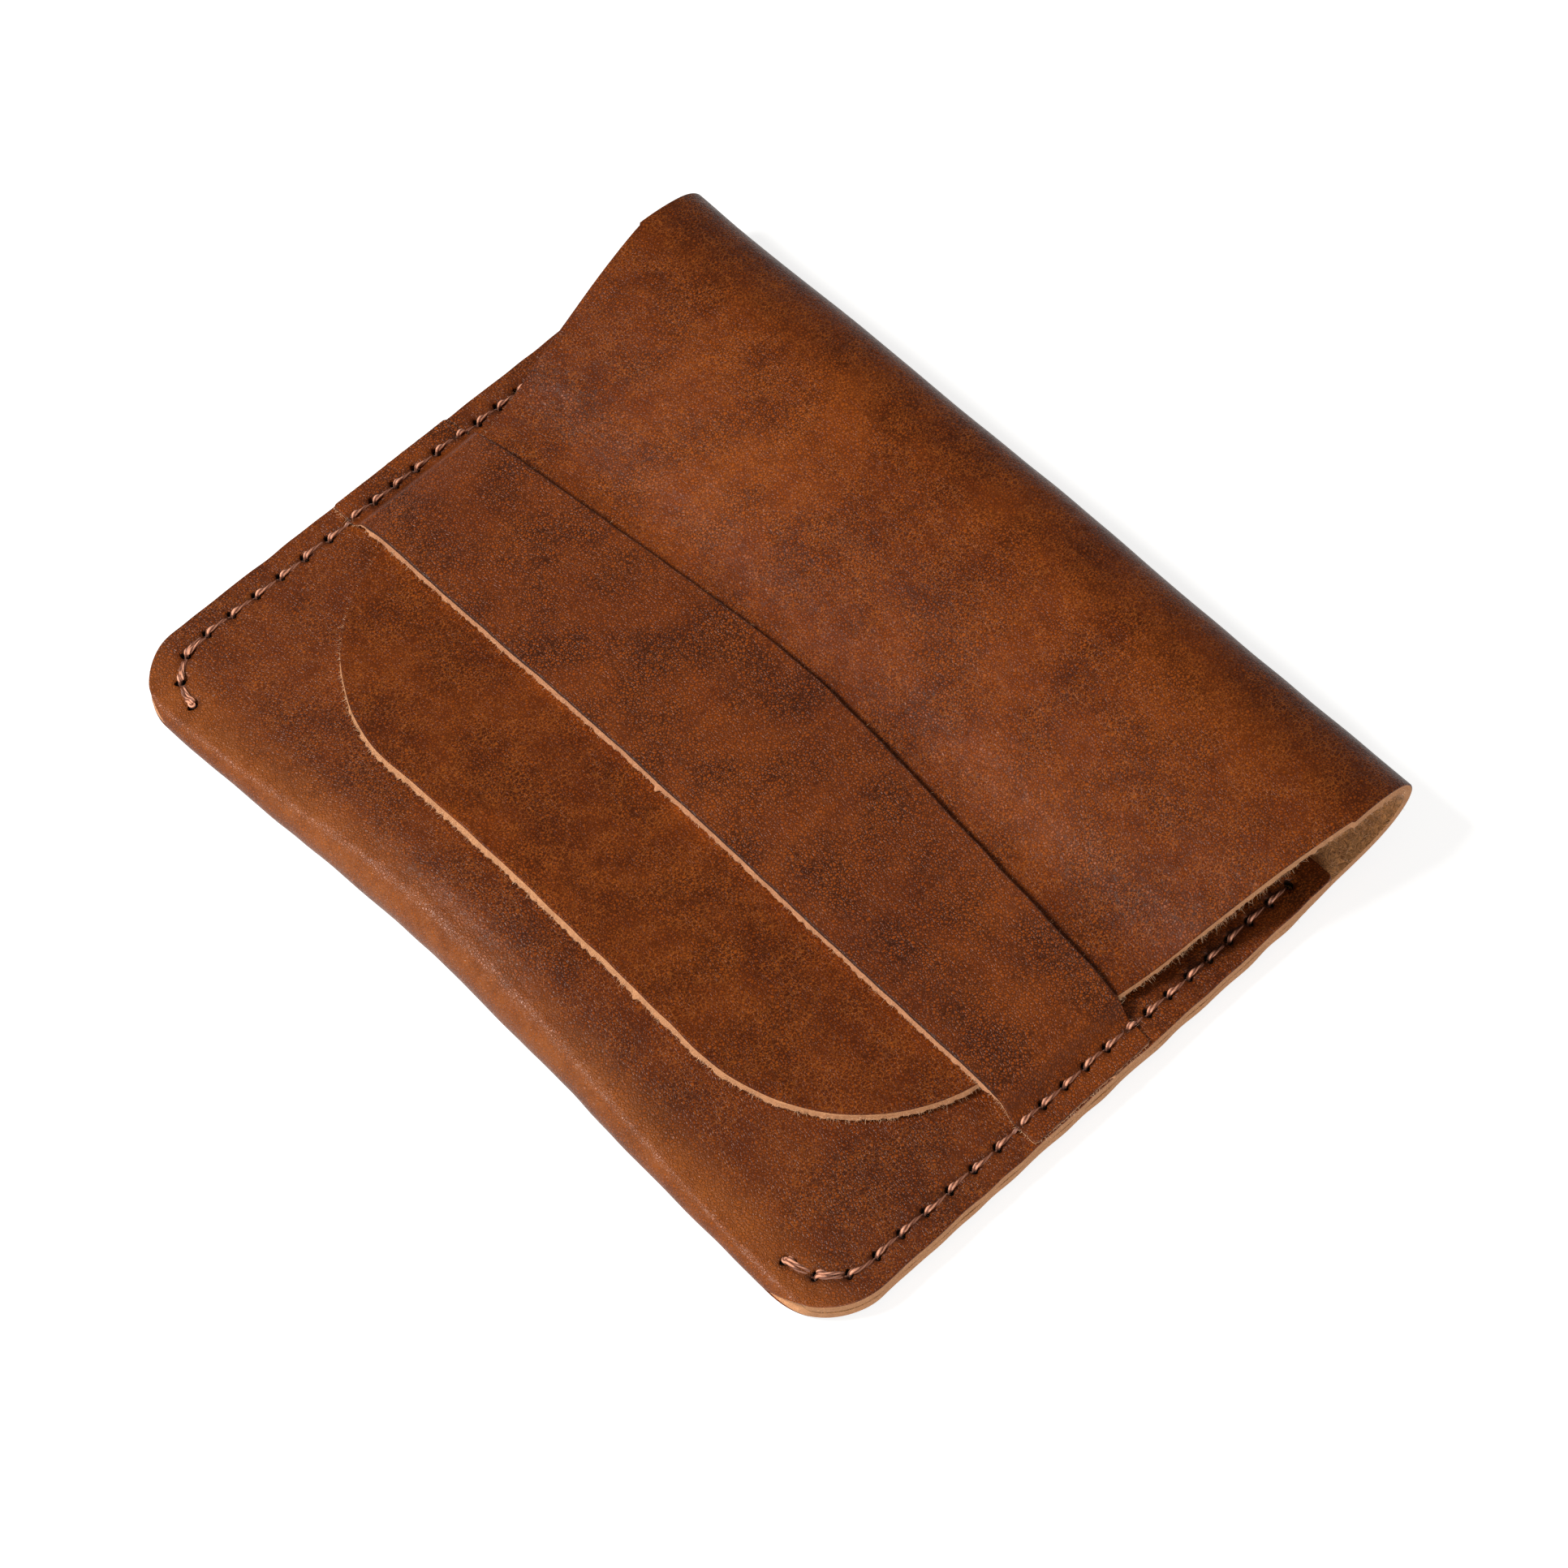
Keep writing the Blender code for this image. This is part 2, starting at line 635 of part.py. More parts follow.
def build_thread(name, side, made_of):
    """A saddle-stitched seam: one strand down the seam and its partner back up."""
    out = strand(side, STRAND_OFFSET, True)
    back = strand(side, -STRAND_OFFSET, False)[::-1]
    path = np.array(out + back)
    keep = [0]
    for i in range(1, len(path)):
        if np.linalg.norm(path[i] - path[keep[-1]]) > 0.05:
            keep.append(i)
    path = path[keep]
    vertices = []
    faces = []
    reference = np.array([float(side), 0.0, 0.0])
    tangents = np.gradient(path, axis=0)
    for k, (place, tangent) in enumerate(zip(path, tangents)):
        tangent = tangent / np.linalg.norm(tangent)
        first = reference - np.dot(reference, tangent) * tangent
        first /= np.linalg.norm(first)
        reference = first
        second = np.cross(tangent, first)
        for n in range(THREAD_SIDES):
            turn = 2.0 * math.pi * n / THREAD_SIDES
            ring = THREAD_RADIUS * (math.cos(turn) * first + math.sin(turn) * second)
            vertices.append(place + ring)
        if k:
            base = (k - 1) * THREAD_SIDES
            for n in range(THREAD_SIDES):
                after = (n + 1) % THREAD_SIDES
                faces.append(
                    (
                        base + n,
                        base + after,
                        base + THREAD_SIDES + after,
                        base + THREAD_SIDES + n,
                    )
                )
    faces.append(tuple(range(THREAD_SIDES)))
    last = len(vertices) - THREAD_SIDES
    faces.append(tuple(last + n for n in range(THREAD_SIDES)))
    return build_mesh(name, vertices, faces, made_of)


def cut_holes(obj, cutters):
    for cutter in cutters:
        cut = obj.modifiers.new(cutter.name, "BOOLEAN")
        cut.operation = "DIFFERENCE"
        cut.solver = "EXACT"
        cut.object = cutter


def main():
    for old in list(bpy.data.objects):
        bpy.data.objects.remove(old, do_unlink=True)

    leather = material("leather", LEATHER_COLOUR, 0.5)
    strap_leather = material("strap_leather", STRAP_COLOUR, 0.5)
    waxed_thread = material("waxed_thread", THREAD_COLOUR, 0.6)

    axes = hinge_axes()
    back = build_back_panel(axes[0], leather)
    fold = build_pocket_fold(leather)
    front = build_front_panel(leather)
    build_fold_link("flap_fold_lower", axes[0], axes[1], leather)
    build_fold_link("flap_fold_upper", axes[1], axes[2], leather)
    build_flap_panel(axes[2], leather)
    build_flap_tongue(axes[2], leather)
    strap = build_strap(strap_leather)

    cutters = [
        build_hole_cutter("holes_left", -1),
        build_hole_cutter("holes_right", 1),
    ]
    for holed in (back, fold, front, strap):
        cut_holes(holed, cutters)

    build_thread("seam_thread_left", -1, waxed_thread)
    build_thread("seam_thread_right", 1, waxed_thread)


main()
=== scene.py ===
"""Looks of the leather card holder: one folded hide, its strap, the two hand-sewn seams and raw fibres.

Shapes are worked out in millimetres, with Y counted from the bottom fold, and written in metres.
A sheet is drawn flat first, as (x, v): x runs across it and v along the hide from the pocket mouth
down the front, round the bottom fold, up the back, over the flap fold and down to the flap end.
"""

import math

import bpy
import numpy as np
from mathutils import Matrix, Vector, geometry


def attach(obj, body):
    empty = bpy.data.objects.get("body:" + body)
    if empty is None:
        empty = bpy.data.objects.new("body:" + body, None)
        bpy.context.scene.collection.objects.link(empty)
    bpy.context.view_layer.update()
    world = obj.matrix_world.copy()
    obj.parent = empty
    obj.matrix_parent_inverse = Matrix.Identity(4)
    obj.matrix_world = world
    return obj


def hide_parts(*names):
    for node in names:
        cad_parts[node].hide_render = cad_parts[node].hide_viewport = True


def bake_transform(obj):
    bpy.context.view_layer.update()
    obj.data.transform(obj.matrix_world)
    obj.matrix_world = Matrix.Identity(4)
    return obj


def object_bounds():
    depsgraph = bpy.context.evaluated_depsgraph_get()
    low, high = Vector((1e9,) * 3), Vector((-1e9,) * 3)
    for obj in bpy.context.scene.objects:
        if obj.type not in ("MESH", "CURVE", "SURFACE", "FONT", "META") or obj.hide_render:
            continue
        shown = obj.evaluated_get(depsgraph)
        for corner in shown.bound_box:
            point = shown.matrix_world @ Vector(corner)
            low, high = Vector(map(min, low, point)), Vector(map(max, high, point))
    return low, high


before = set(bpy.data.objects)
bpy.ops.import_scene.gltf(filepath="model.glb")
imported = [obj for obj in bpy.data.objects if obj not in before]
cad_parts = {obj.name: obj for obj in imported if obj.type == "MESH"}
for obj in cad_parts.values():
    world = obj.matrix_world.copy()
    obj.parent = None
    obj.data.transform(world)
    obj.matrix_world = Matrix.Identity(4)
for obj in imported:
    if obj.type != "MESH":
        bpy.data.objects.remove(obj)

cad_low, cad_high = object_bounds()
MM = 0.001
Y_ORIGIN = 41.4516

# ---------------------------------------------------------------- shape of the holder, as in the CAD
HALF_WIDTH = 52.5
LEATHER = 1.3
LAYER_GAP = 0.12
CORNER_RADIUS = 8.0
MARGIN_LIFT = 0.5
MARGIN_X = 47.5
MOUTH_Y = 71.6
SPLIT_Y = 11.5
FOLD_RADIUS_MARGIN = (2 * LEATHER + LAYER_GAP) / 2
FOLD_RADIUS_FULL = 3.35
FOLD_PULL_IN = 1.2
FULLEST_X = -6.0
BASE_SKEW = 0.007
BASE_SKEW_REACH = 30.0
FRONT_CROWN = (
    (4.6, 6.7), (9.0, 6.65), (14.0, 6.15), (21.0, 5.4), (29.0, 4.9), (37.0, 4.72),
    (45.0, 4.7), (50.0, 4.76), (57.0, 5.2), (64.0, 5.9), (72.0, 6.6),
)
LOOP = (
    (58.0, 0.5), (66.0, 0.95), (73.0, 1.42), (78.4, 2.15), (81.7, 3.85), (83.2, 6.8),
    (82.1, 9.4), (78.6, 11.1), (74.0, 11.65), (68.0, 10.85), (60.0, 8.8), (54.0, 6.95),
)
BACK_RISE_Y = (48.0, 60.0)
FLAP_EDGE = (
    (11.0, 4.67), (30.0, 4.67), (40.0, 4.7), (44.0, 4.88), (48.0, 5.32), (52.0, 6.2),
    (56.0, 7.62), (60.0, 8.8), (68.0, 10.85), (74.0, 11.65),
)
FLAP_MIDDLE = (
    (46.0, 6.13), (49.0, 6.17), (52.0, 6.8), (56.0, 8.05), (60.0, 9.15), (68.0, 10.95),
    (74.0, 11.65),
)
FLAP_LEAVES_FRONT = (44.0, 48.0)
FLAP_HALF_WIDTH = 52.2
FLAP_TAPER = 0.178
FLAP_TAPER_X = 47.0
FLAP_TAPER_Y = 46.0
FLAP_END_Y = 11.9
FLAP_END_RADIUS = 22.0
STRAP_LOWER_Y = 29.35
STRAP_UPPER_Y = 45.3
STRAP_PEAK_Y = 49.5
STRAP_PEAK_ROUND = 6.0
STRAP_THIN_END = 0.4
STRAP_THIN_FROM = 43.0
STRAP_THIN_TO = 49.0
STRAP_DROP_FROM = 47.2
STRAP_DROP_TO = 49.2
STRAP_RESTS_TO_Y = 49.0
SEAM_X = 49.8
SEAM_TOP_Y = 67.9
SEAM_CORNER_RADIUS = 5.8
SEAM_CORNER_CENTRE_Y = 8.9
STITCH_ZONES = ((8, 2.90), (5, 2.98), (9, 3.33))
HOLE_LONG = 0.62
HOLE_WIDE = 0.4
HOLE_SLANT = math.radians(8.0)

# The flap fold bends between these places on its grain side, as (Y, Z)
BEND_POINTS = ((76.275, 1.721), (82.950, 5.612), (82.361, 9.097), (71.113, 11.421))

# ---------------------------------------------------------------- detail added here
TURN_SCALE = 2.6
TAIL_KNOT = 2
FLAP_KNOT = 8
FLAP_BLEND_Y = (64.0, 74.0)
FOLD_BOW = 0.3
SHOULDER_V = 1.8
EDGE_STEP = 0.22
EDGE_ROUND = 0.16
FLESH_ROUND = 0.03
RIM_RINGS = (0.05, 0.11, 0.2, 0.48)
WALL_SHARES = (0.14, 0.3, 0.48, 0.66, 0.84)
WALL_ROUGHNESS = 0.05
RIM_CLEARANCE = 0.22
HOLE_CLEARANCE = 0.35
SEAM_NEAR_X = 40.0
SEAM_NEAR_Y = SEAM_TOP_Y + 3.0
SEAM_SHADE_TO_Z = 9.0
HOLE_RIM = 0.16
HOLE_SUNK = 0.14
GRAIN_SLOT, CUT_SLOT, FLESH_SLOT, HOLE_SLOT = range(4)
RAGGED = 0.065
FLAP_BEVEL = 0.16
STRAP_BEVEL = 0.1
MOUTH_CORNER = 0.7
GRID = 1.0
MARGIN_GRID = 0.42
MARGIN_GRID_X = 45.0
BEND_GRID = 0.35
JOIN_ROW = 0.06
THREAD_RADIUS = 0.225
THREAD_STEP = 0.075
THREAD_SIDES = 15
THREAD_PITCH = 1.25
THREAD_LOBES = 3
THREAD_GROOVE = 0.17
MATTED_X = (34.0, 52.0)
SEED = 20


def smoothstep(value, start, end):
    t = np.clip((value - start) / (end - start), 0.0, 1.0)
    return t * t * (3.0 - 2.0 * t)


class Spline:
    """Natural cubic spline through points, by chord length."""

    def __init__(self, points):
        self.points = np.array(points, float)
        steps = np.linalg.norm(np.diff(self.points, axis=0), axis=1)
        self.knots = np.concatenate([[0.0], np.cumsum(steps)])
        count = len(points)
        matrix = np.eye(count)
        rise = np.zeros((count, self.points.shape[1]))
        for i in range(1, count - 1):
            before, after = steps[i - 1], steps[i]
            matrix[i, i - 1 : i + 2] = before, 2 * (before + after), after
            rise[i] = 6 * (
                (self.points[i + 1] - self.points[i]) / after
                - (self.points[i] - self.points[i - 1]) / before
            )
        self.bend = np.linalg.solve(matrix, rise)

    def __call__(self, at):
        at = np.atleast_1d(at)
        i = np.clip(np.searchsorted(self.knots, at) - 1, 0, len(self.knots) - 2)
        step = (self.knots[i + 1] - self.knots[i])[:, None]
        right = (at - self.knots[i])[:, None] / step
        left = 1.0 - right
        return (
            left * self.points[i]
            + right * self.points[i + 1]
            + ((left**3 - left) * self.bend[i] + (right**3 - right) * self.bend[i + 1])
            * step**2
            / 6.0
        )


def height_table(points):
    """Z as a function of Y along a side view curve that never turns back."""
    spline = Spline(points)
    samples = spline(np.linspace(0.0, spline.knots[-1], 600))
    return samples[np.argsort(samples[:, 0])]


FRONT_TABLE = height_table(FRONT_CROWN)
EDGE_TABLE = height_table(FLAP_EDGE)
MIDDLE_TABLE = height_table(FLAP_MIDDLE)
LOOP_SPLINE = Spline(LOOP)
KNOTS = LOOP_SPLINE.knots
TAIL_TABLE = LOOP_SPLINE(np.linspace(0.0, KNOTS[3], 200))
ROOF_TABLE = LOOP_SPLINE(np.linspace(KNOTS[-1], KNOTS[7], 200))

V_TURN = MOUTH_Y - FOLD_RADIUS_MARGIN
V_BACK = V_TURN + math.pi * TURN_SCALE
V_LOOP = V_BACK + LOOP[TAIL_KNOT][0] - FOLD_RADIUS_MARGIN
V_FLAP = V_LOOP + KNOTS[FLAP_KNOT] - KNOTS[TAIL_KNOT]
V_END = V_FLAP + LOOP[FLAP_KNOT][0] - FLAP_END_Y


def fullness(x):
    """How full the pocket is at x: 0 on the stitched margins, 1 where it is fullest."""
    reach = np.where(x < FULLEST_X, MARGIN_X + FULLEST_X, MARGIN_X - FULLEST_X)
    t = np.clip(np.abs(x - FULLEST_X) / reach, 0.0, 1.0)
    return np.cos(0.5 * np.pi * t) ** 2


def tail_rise(y):
    """How far the back has risen towards the flap fold."""
    return np.interp(y, TAIL_TABLE[:, 0], TAIL_TABLE[:, 1], left=MARGIN_LIFT) - MARGIN_LIFT


def front_z(x, y):
    """Grain side of the pocket front."""
    crown = np.interp(y, FRONT_TABLE[:, 0], FRONT_TABLE[:, 1])
    margin = MARGIN_LIFT + 2 * LEATHER + LAYER_GAP + tail_rise(y)
    return margin + fullness(x) * (crown - margin)


def back_z(x, y):
    """Grain side of the back, which is the underside."""
    lifted = smoothstep(y, *BACK_RISE_Y)
    middle = np.minimum(fullness(x) * 1.6, 1.0)
    return MARGIN_LIFT * (1.0 - middle * (1.0 - lifted)) + tail_rise(y)


def flap_z(x, y):
    """Grain side of the flap and its end."""
    edge = np.interp(y, EDGE_TABLE[:, 0], EDGE_TABLE[:, 1])
    resting = front_z(0.0 * x + FULLEST_X, y) + LAYER_GAP + LEATHER
    free = np.interp(y, MIDDLE_TABLE[:, 0], MIDDLE_TABLE[:, 1])
    middle = resting + smoothstep(y, *FLAP_LEAVES_FRONT) * (free - resting)
    own = edge + fullness(x) * (middle - edge)
    roof = np.interp(y, ROOF_TABLE[:, 0], ROOF_TABLE[:, 1])
    return own + smoothstep(y, *FLAP_BLEND_Y) * (roof - own)


def skewed(x, y):
    """The bottom of the pocket runs slightly out of square."""
    return y + BASE_SKEW * x * np.clip(1.0 - y / BASE_SKEW_REACH, 0.0, 1.0)


def pocket_half_width(y):
    below = np.clip(CORNER_RADIUS - y, 0.0, CORNER_RADIUS)
    return HALF_WIDTH - CORNER_RADIUS + np.sqrt(CORNER_RADIUS**2 - below**2)


def fold_section(x):
    """Bottom fold at x: outer radius and outermost Y."""
    share = fullness(x)
    radius = FOLD_RADIUS_MARGIN + share * (FOLD_RADIUS_FULL - FOLD_RADIUS_MARGIN)
    return radius, FOLD_PULL_IN * share


def layer_y(x, edge_y):
    """Y on the front or back for a row that meets the margins at edge_y."""
    radius, outermost = fold_section(x)
    share = np.clip((SPLIT_Y - edge_y) / (SPLIT_Y - FOLD_RADIUS_MARGIN), 0.0, 1.0)
    return np.where(edge_y < SPLIT_Y, SPLIT_Y + share * (outermost + radius - SPLIT_Y), edge_y)


def layer_edge_y(x, y):
    """The inverse of layer_y."""
    radius, outermost = fold_section(x)
    share = (SPLIT_Y - y) / (SPLIT_Y - outermost - radius)
    return np.where(y < SPLIT_Y, SPLIT_Y - share * (SPLIT_Y - FOLD_RADIUS_MARGIN), y)


def bottom_turn(v):
    """Of a row of the hide: Y at its ends if flat, angle round the bottom fold, and if it is there."""
    edge_y = np.where(v < V_TURN, MOUTH_Y - v, FOLD_RADIUS_MARGIN + v - V_BACK)
    angle = np.clip((v - V_TURN) / TURN_SCALE, 0.0, math.pi)
    return edge_y, angle, (v >= V_TURN) & (v < V_BACK)


def hide_base(x, v):
    """Grain side of the hide before its relief."""
    edge_y, angle, turning = bottom_turn(v)
    y = layer_y(x, edge_y)
    z = np.where(v < V_TURN, front_z(x, y), back_z(x, y))

    radius, outermost = fold_section(x)
    top = front_z(x, outermost + radius)
    bottom = back_z(x, outermost + radius)
    y = np.where(turning, outermost + radius * (1.0 - np.sin(angle)), y)
    z = np.where(turning, 0.5 * (top + bottom) + 0.5 * (top - bottom) * np.cos(angle), z)

    at = np.clip(KNOTS[TAIL_KNOT] + v - V_LOOP, KNOTS[TAIL_KNOT], KNOTS[FLAP_KNOT])
    ring = LOOP_SPLINE(at)
    ahead = LOOP_SPLINE(at + 0.01) - LOOP_SPLINE(at - 0.01)
    ahead /= np.linalg.norm(ahead, axis=1)[:, None]
    share = (at - KNOTS[TAIL_KNOT]) / (KNOTS[FLAP_KNOT] - KNOTS[TAIL_KNOT])
    across = np.clip(np.abs(x) / FLAP_HALF_WIDTH, 0.0, 1.0)
    bow = FOLD_BOW * np.sin(np.pi * share) ** 2 * np.cos(0.5 * np.pi * across) ** 2
    looping = (v >= V_LOOP) & (v < V_FLAP)
    y = np.where(looping, ring[:, 0] + bow * ahead[:, 1], y)
    z = np.where(looping, ring[:, 1] - bow * ahead[:, 0], z)

    flap_y = LOOP[FLAP_KNOT][0] + V_FLAP - v
    y = np.where(v >= V_FLAP, flap_y, y)
    z = np.where(v >= V_FLAP, flap_z(x, flap_y), z)
    return np.stack([x, skewed(x, y), z], axis=1)


def unit(vectors):
    return vectors / np.linalg.norm(vectors, axis=1)[:, None]


def directions(surface, x, v, reach=0.02):
    """Unit vectors across, along and out of a surface."""
    across = unit(surface(x + reach, v) - surface(x - reach, v))
    along = unit(surface(x, v + reach) - surface(x, v - reach))
    return across, along, unit(np.cross(along, across))


def waves(a, b, seed, wavelength, count=10):
    """Smooth unevenness between about -1 and 1."""
    random = np.random.default_rng(seed)
    total = np.zeros(np.shape(a))
    for _ in range(count):
        turn, phase = random.uniform(0.0, 2.0 * np.pi, 2)
        rate = 2.0 * np.pi / (wavelength * random.uniform(0.7, 1.6))
        total += np.sin(rate * (a * np.cos(turn) + b * np.sin(turn)) + phase)
    return total / math.sqrt(count)


# ---------------------------------------------------------------- seams
def seam_point(distance):
    """Place on the right-hand seam line and its direction, from the mouth down."""
    straight = SEAM_TOP_Y - SEAM_CORNER_CENTRE_Y
    if distance <= straight:
        return np.array([SEAM_X, SEAM_TOP_Y - distance]), np.array([0.0, -1.0])
    angle = (distance - straight) / SEAM_CORNER_RADIUS
    centre = np.array([SEAM_X - SEAM_CORNER_RADIUS, SEAM_CORNER_CENTRE_Y])
    place = centre + SEAM_CORNER_RADIUS * np.array([math.cos(angle), -math.sin(angle)])
    return place, np.array([-math.sin(angle), -math.cos(angle)])


def hole_distances():
    distances = [0.0]
    for gaps, spacing in STITCH_ZONES:
        distances += [distances[-1] + spacing * (k + 1) for k in range(gaps)]
    return distances


HOLES = np.array([seam_point(d)[0] for d in hole_distances()])
SEAM_LINE = np.array([seam_point(d)[0] for d in np.arange(0.0, hole_distances()[-1], 0.5)])


def hole_outline(index, side, grow):
    """Outline of one awl hole, as (x, y)."""
    place, along = seam_point(hole_distances()[index])
    across = np.array([-along[1], along[0]])
    long_way = math.cos(HOLE_SLANT) * across + math.sin(HOLE_SLANT) * along
    short_way = np.array([-long_way[1], long_way[0]])
    turn = np.linspace(0.0, 2.0 * np.pi, 12, endpoint=False)
    wide = np.sign(np.cos(turn)) * np.abs(np.cos(turn)) ** 1.2
    tall = np.sign(np.sin(turn)) * np.abs(np.sin(turn)) ** 1.2
    outline = (
        place
        + (HOLE_LONG + grow) * wide[:, None] * long_way
        + (HOLE_WIDE + grow) * tall[:, None] * short_way
    )
    return outline * (side, 1.0)


def nearest(points, targets, most=6.0):
    """Distance from each point to the nearest target, up to most."""
    result = np.full(len(points), most)
    for target in targets:
        result = np.minimum(result, np.hypot(*(points - target).T))
    return result


def near_seam(x, y):
    """Which points are near a seam, with their distances from its line and from its holes."""
    near = (np.abs(x) > SEAM_NEAR_X) & (y < SEAM_NEAR_Y)
    points = np.stack([np.abs(x), y], axis=1)[near]
    return near, nearest(points, SEAM_LINE), nearest(points, HOLES)


def seam_dent(x, y):
    """How far the tight stitches press the margins in."""
    near, line, hole = near_seam(x, y)
    result = np.zeros(len(x))
    result[near] = 0.13 * np.exp(-((line / 0.6) ** 2)) + 0.12 * np.exp(-((hole / 0.7) ** 2))
    return result


def seam_shade(points):
    """Painted shade along the seams, where the stitches press the leather in and round the awl holes,
    below the flap.
    """
    x, y, z = points.T
    near, line, hole = near_seam(x, y)
    result = np.zeros(len(points))
    result[near] = 0.55 * np.exp(-((line / 0.4) ** 2)) + 0.4 * np.exp(-((hole / 0.65) ** 2))
    return np.clip(result, 0.0, 1.0) * (z < SEAM_SHADE_TO_Z)


def stack_relief(x, y):
    """Unevenness shared by everything that lies on the pocket front."""
    return 0.05 * waves(x, y, 1, 21.0) + 0.016 * waves(x, y, 2, 8.0) - seam_dent(x, y)


def hide_relief(x, v, base):
    y = base[:, 1]
    shoulder = np.where(v < V_TURN + SHOULDER_V, 4.2, 2.6)
    soft = -0.75 * fullness(x) * np.exp(-(((v - V_TURN - SHOULDER_V) / shoulder) ** 2))
    lower = smoothstep(v, V_TURN - 4.0, V_TURN + 1.0)
    back = smoothstep(v, V_BACK - 1.0, V_BACK + 4.0)
    loop = smoothstep(v, V_LOOP - 12.0, V_LOOP)
    tucked = smoothstep(v, V_FLAP, V_FLAP + 1.0) * smoothstep(50.0 - y, 0.0, 5.0)
    stack = stack_relief(x, y)
    turn_relief = 0.07 * waves(x, v * 0.5, 7, 13.0) + 0.02 * waves(x, v, 8, 5.0)
    back_relief = 0.03 * waves(x, y, 5, 24.0) - 0.05 - seam_dent(x, y)
    flap_relief = 0.09 * waves(x, v, 3, 27.0) + 0.022 * waves(x, v, 4, 9.0)
    result = stack + lower * (turn_relief - stack)
    result = result + back * (back_relief - result)
    result = result + loop * (flap_relief - result)
    return result + tucked * (stack - result) + soft


def hide_grain(x, v):
    base = hide_base(x, v)
    out = directions(hide_base, x, v)[2]
    return base + hide_relief(x, v, base)[:, None] * out


def hide_flesh(x, v):
    return hide_base(x, v) - LEATHER * directions(hide_base, x, v)[2]


# ---------------------------------------------------------------- strap, drawn flat as (x, -y)
def strap_upper(x):
    rounded = np.sqrt(x**2 + STRAP_PEAK_ROUND**2) - STRAP_PEAK_ROUND
    most = math.sqrt(HALF_WIDTH**2 + STRAP_PEAK_ROUND**2) - STRAP_PEAK_ROUND
    return STRAP_PEAK_Y - (STRAP_PEAK_Y - STRAP_UPPER_Y) * rounded / most


def strap_thickness(x):
    thin = smoothstep(np.abs(x), STRAP_THIN_FROM, STRAP_THIN_TO)
    return LEATHER + thin * (STRAP_THIN_END - LEATHER)


def strap_underside(x, y):
    on_front = front_z(x, y) + LAYER_GAP
    inside = np.sign(x) * np.minimum(np.abs(x), STRAP_DROP_FROM)
    resting = flap_z(inside, 0.0 * y + FLAP_LEAVES_FRONT[0])
    on_flap = np.maximum(flap_z(inside, np.minimum(y, STRAP_RESTS_TO_Y)), resting)
    drop = smoothstep(np.abs(x), STRAP_DROP_FROM, STRAP_DROP_TO)
    return on_flap + LAYER_GAP + drop * (on_front - on_flap - LAYER_GAP)


def strap_flesh(x, v):
    return np.stack([x, -v, strap_underside(x, -v)], axis=1)


def strap_grain(x, v):
    relief = stack_relief(x, -v) + 0.03 * waves(x, v, 9, 15.0)
    return np.stack([x, -v, strap_underside(x, -v) + strap_thickness(x) + relief], axis=1)


HIDE_SIDES = (hide_grain, hide_flesh)
STRAP_SIDES = (strap_grain, strap_flesh)


# ---------------------------------------------------------------- flat outlines
def hide_half_width(v):
    """Half the width of the hide at v, but for the rounded flap end."""
    edge_y, angle, turning = bottom_turn(v)
    edge_y = np.where(turning, FOLD_RADIUS_MARGIN * (1.0 - np.sin(angle)), edge_y)
    narrowed = smoothstep(v, V_LOOP - 9.0, V_LOOP) * (HALF_WIDTH - FLAP_HALF_WIDTH)
    flap_y = LOOP[FLAP_KNOT][0] + V_FLAP - v
    taper = FLAP_TAPER_X + FLAP_TAPER * (flap_y - FLAP_TAPER_Y)
    flap = np.minimum(taper, FLAP_HALF_WIDTH)
    return np.where(v < V_FLAP, pocket_half_width(edge_y) - narrowed, flap)


def steps_between(start, end, step):
    count = max(1, int(math.ceil(abs(end - start) / step)))
    return np.linspace(start, end, count + 1)


def side_points(start, end, side):
    """Points down one side of the hide, closer together round the bottom corners."""
    parts = [steps_between(start, end, EDGE_STEP)]
    if start < V_TURN < end:
        fine = steps_between(V_TURN - 2.0, V_BACK + 2.0, 0.13)
        coarse = parts[0]
        parts = [coarse[coarse < fine[0] - 0.1], fine, coarse[coarse > fine[-1] + 0.1]]
    v = np.concatenate(parts)
    uneven = 0.045 * waves(v, 0.0 * v, 31 + side, 5.0)
    uneven *= smoothstep(v, 1.0, 4.0) * (1.0 - smoothstep(v, V_LOOP - 3.0, V_LOOP))
    return np.stack([side * (hide_half_width(v) + uneven), v], axis=1)


def flap_end():
    """The rounded end of the flap, from the right-hand side to the left."""
    lean = math.atan(FLAP_TAPER)
    centre_y = FLAP_END_Y + FLAP_END_RADIUS
    on_side = FLAP_TAPER_X + FLAP_TAPER * (centre_y - FLAP_TAPER_Y)
    centre_x = on_side - FLAP_END_RADIUS / math.cos(lean)
    turn = steps_between(lean, math.pi / 2, EDGE_STEP / FLAP_END_RADIUS)
    arc_y = centre_y - FLAP_END_RADIUS * np.sin(turn)
    arc_x = centre_x + FLAP_END_RADIUS * np.cos(turn)
    half = np.stack([arc_x, LOOP[FLAP_KNOT][0] + V_FLAP - arc_y], axis=1)
    middle = steps_between(centre_x, -centre_x, EDGE_STEP)[1:-1]
    straight = np.stack([middle, 0.0 * middle + V_END], axis=1)
    points = np.concatenate([half, straight, half[::-1] * (-1.0, 1.0)])
    points[:, 1] += 0.05 * waves(points[:, 0], 0.0 * points[:, 0], 37, 6.0)
    return points


def mouth_corner(side):
    turn = np.linspace(0.0, np.pi / 2, 6)
    x = HALF_WIDTH - MOUTH_CORNER * (1.0 - np.cos(turn))
    v = MOUTH_CORNER * (1.0 - np.sin(turn))
    return np.stack([side * x, v], axis=1)


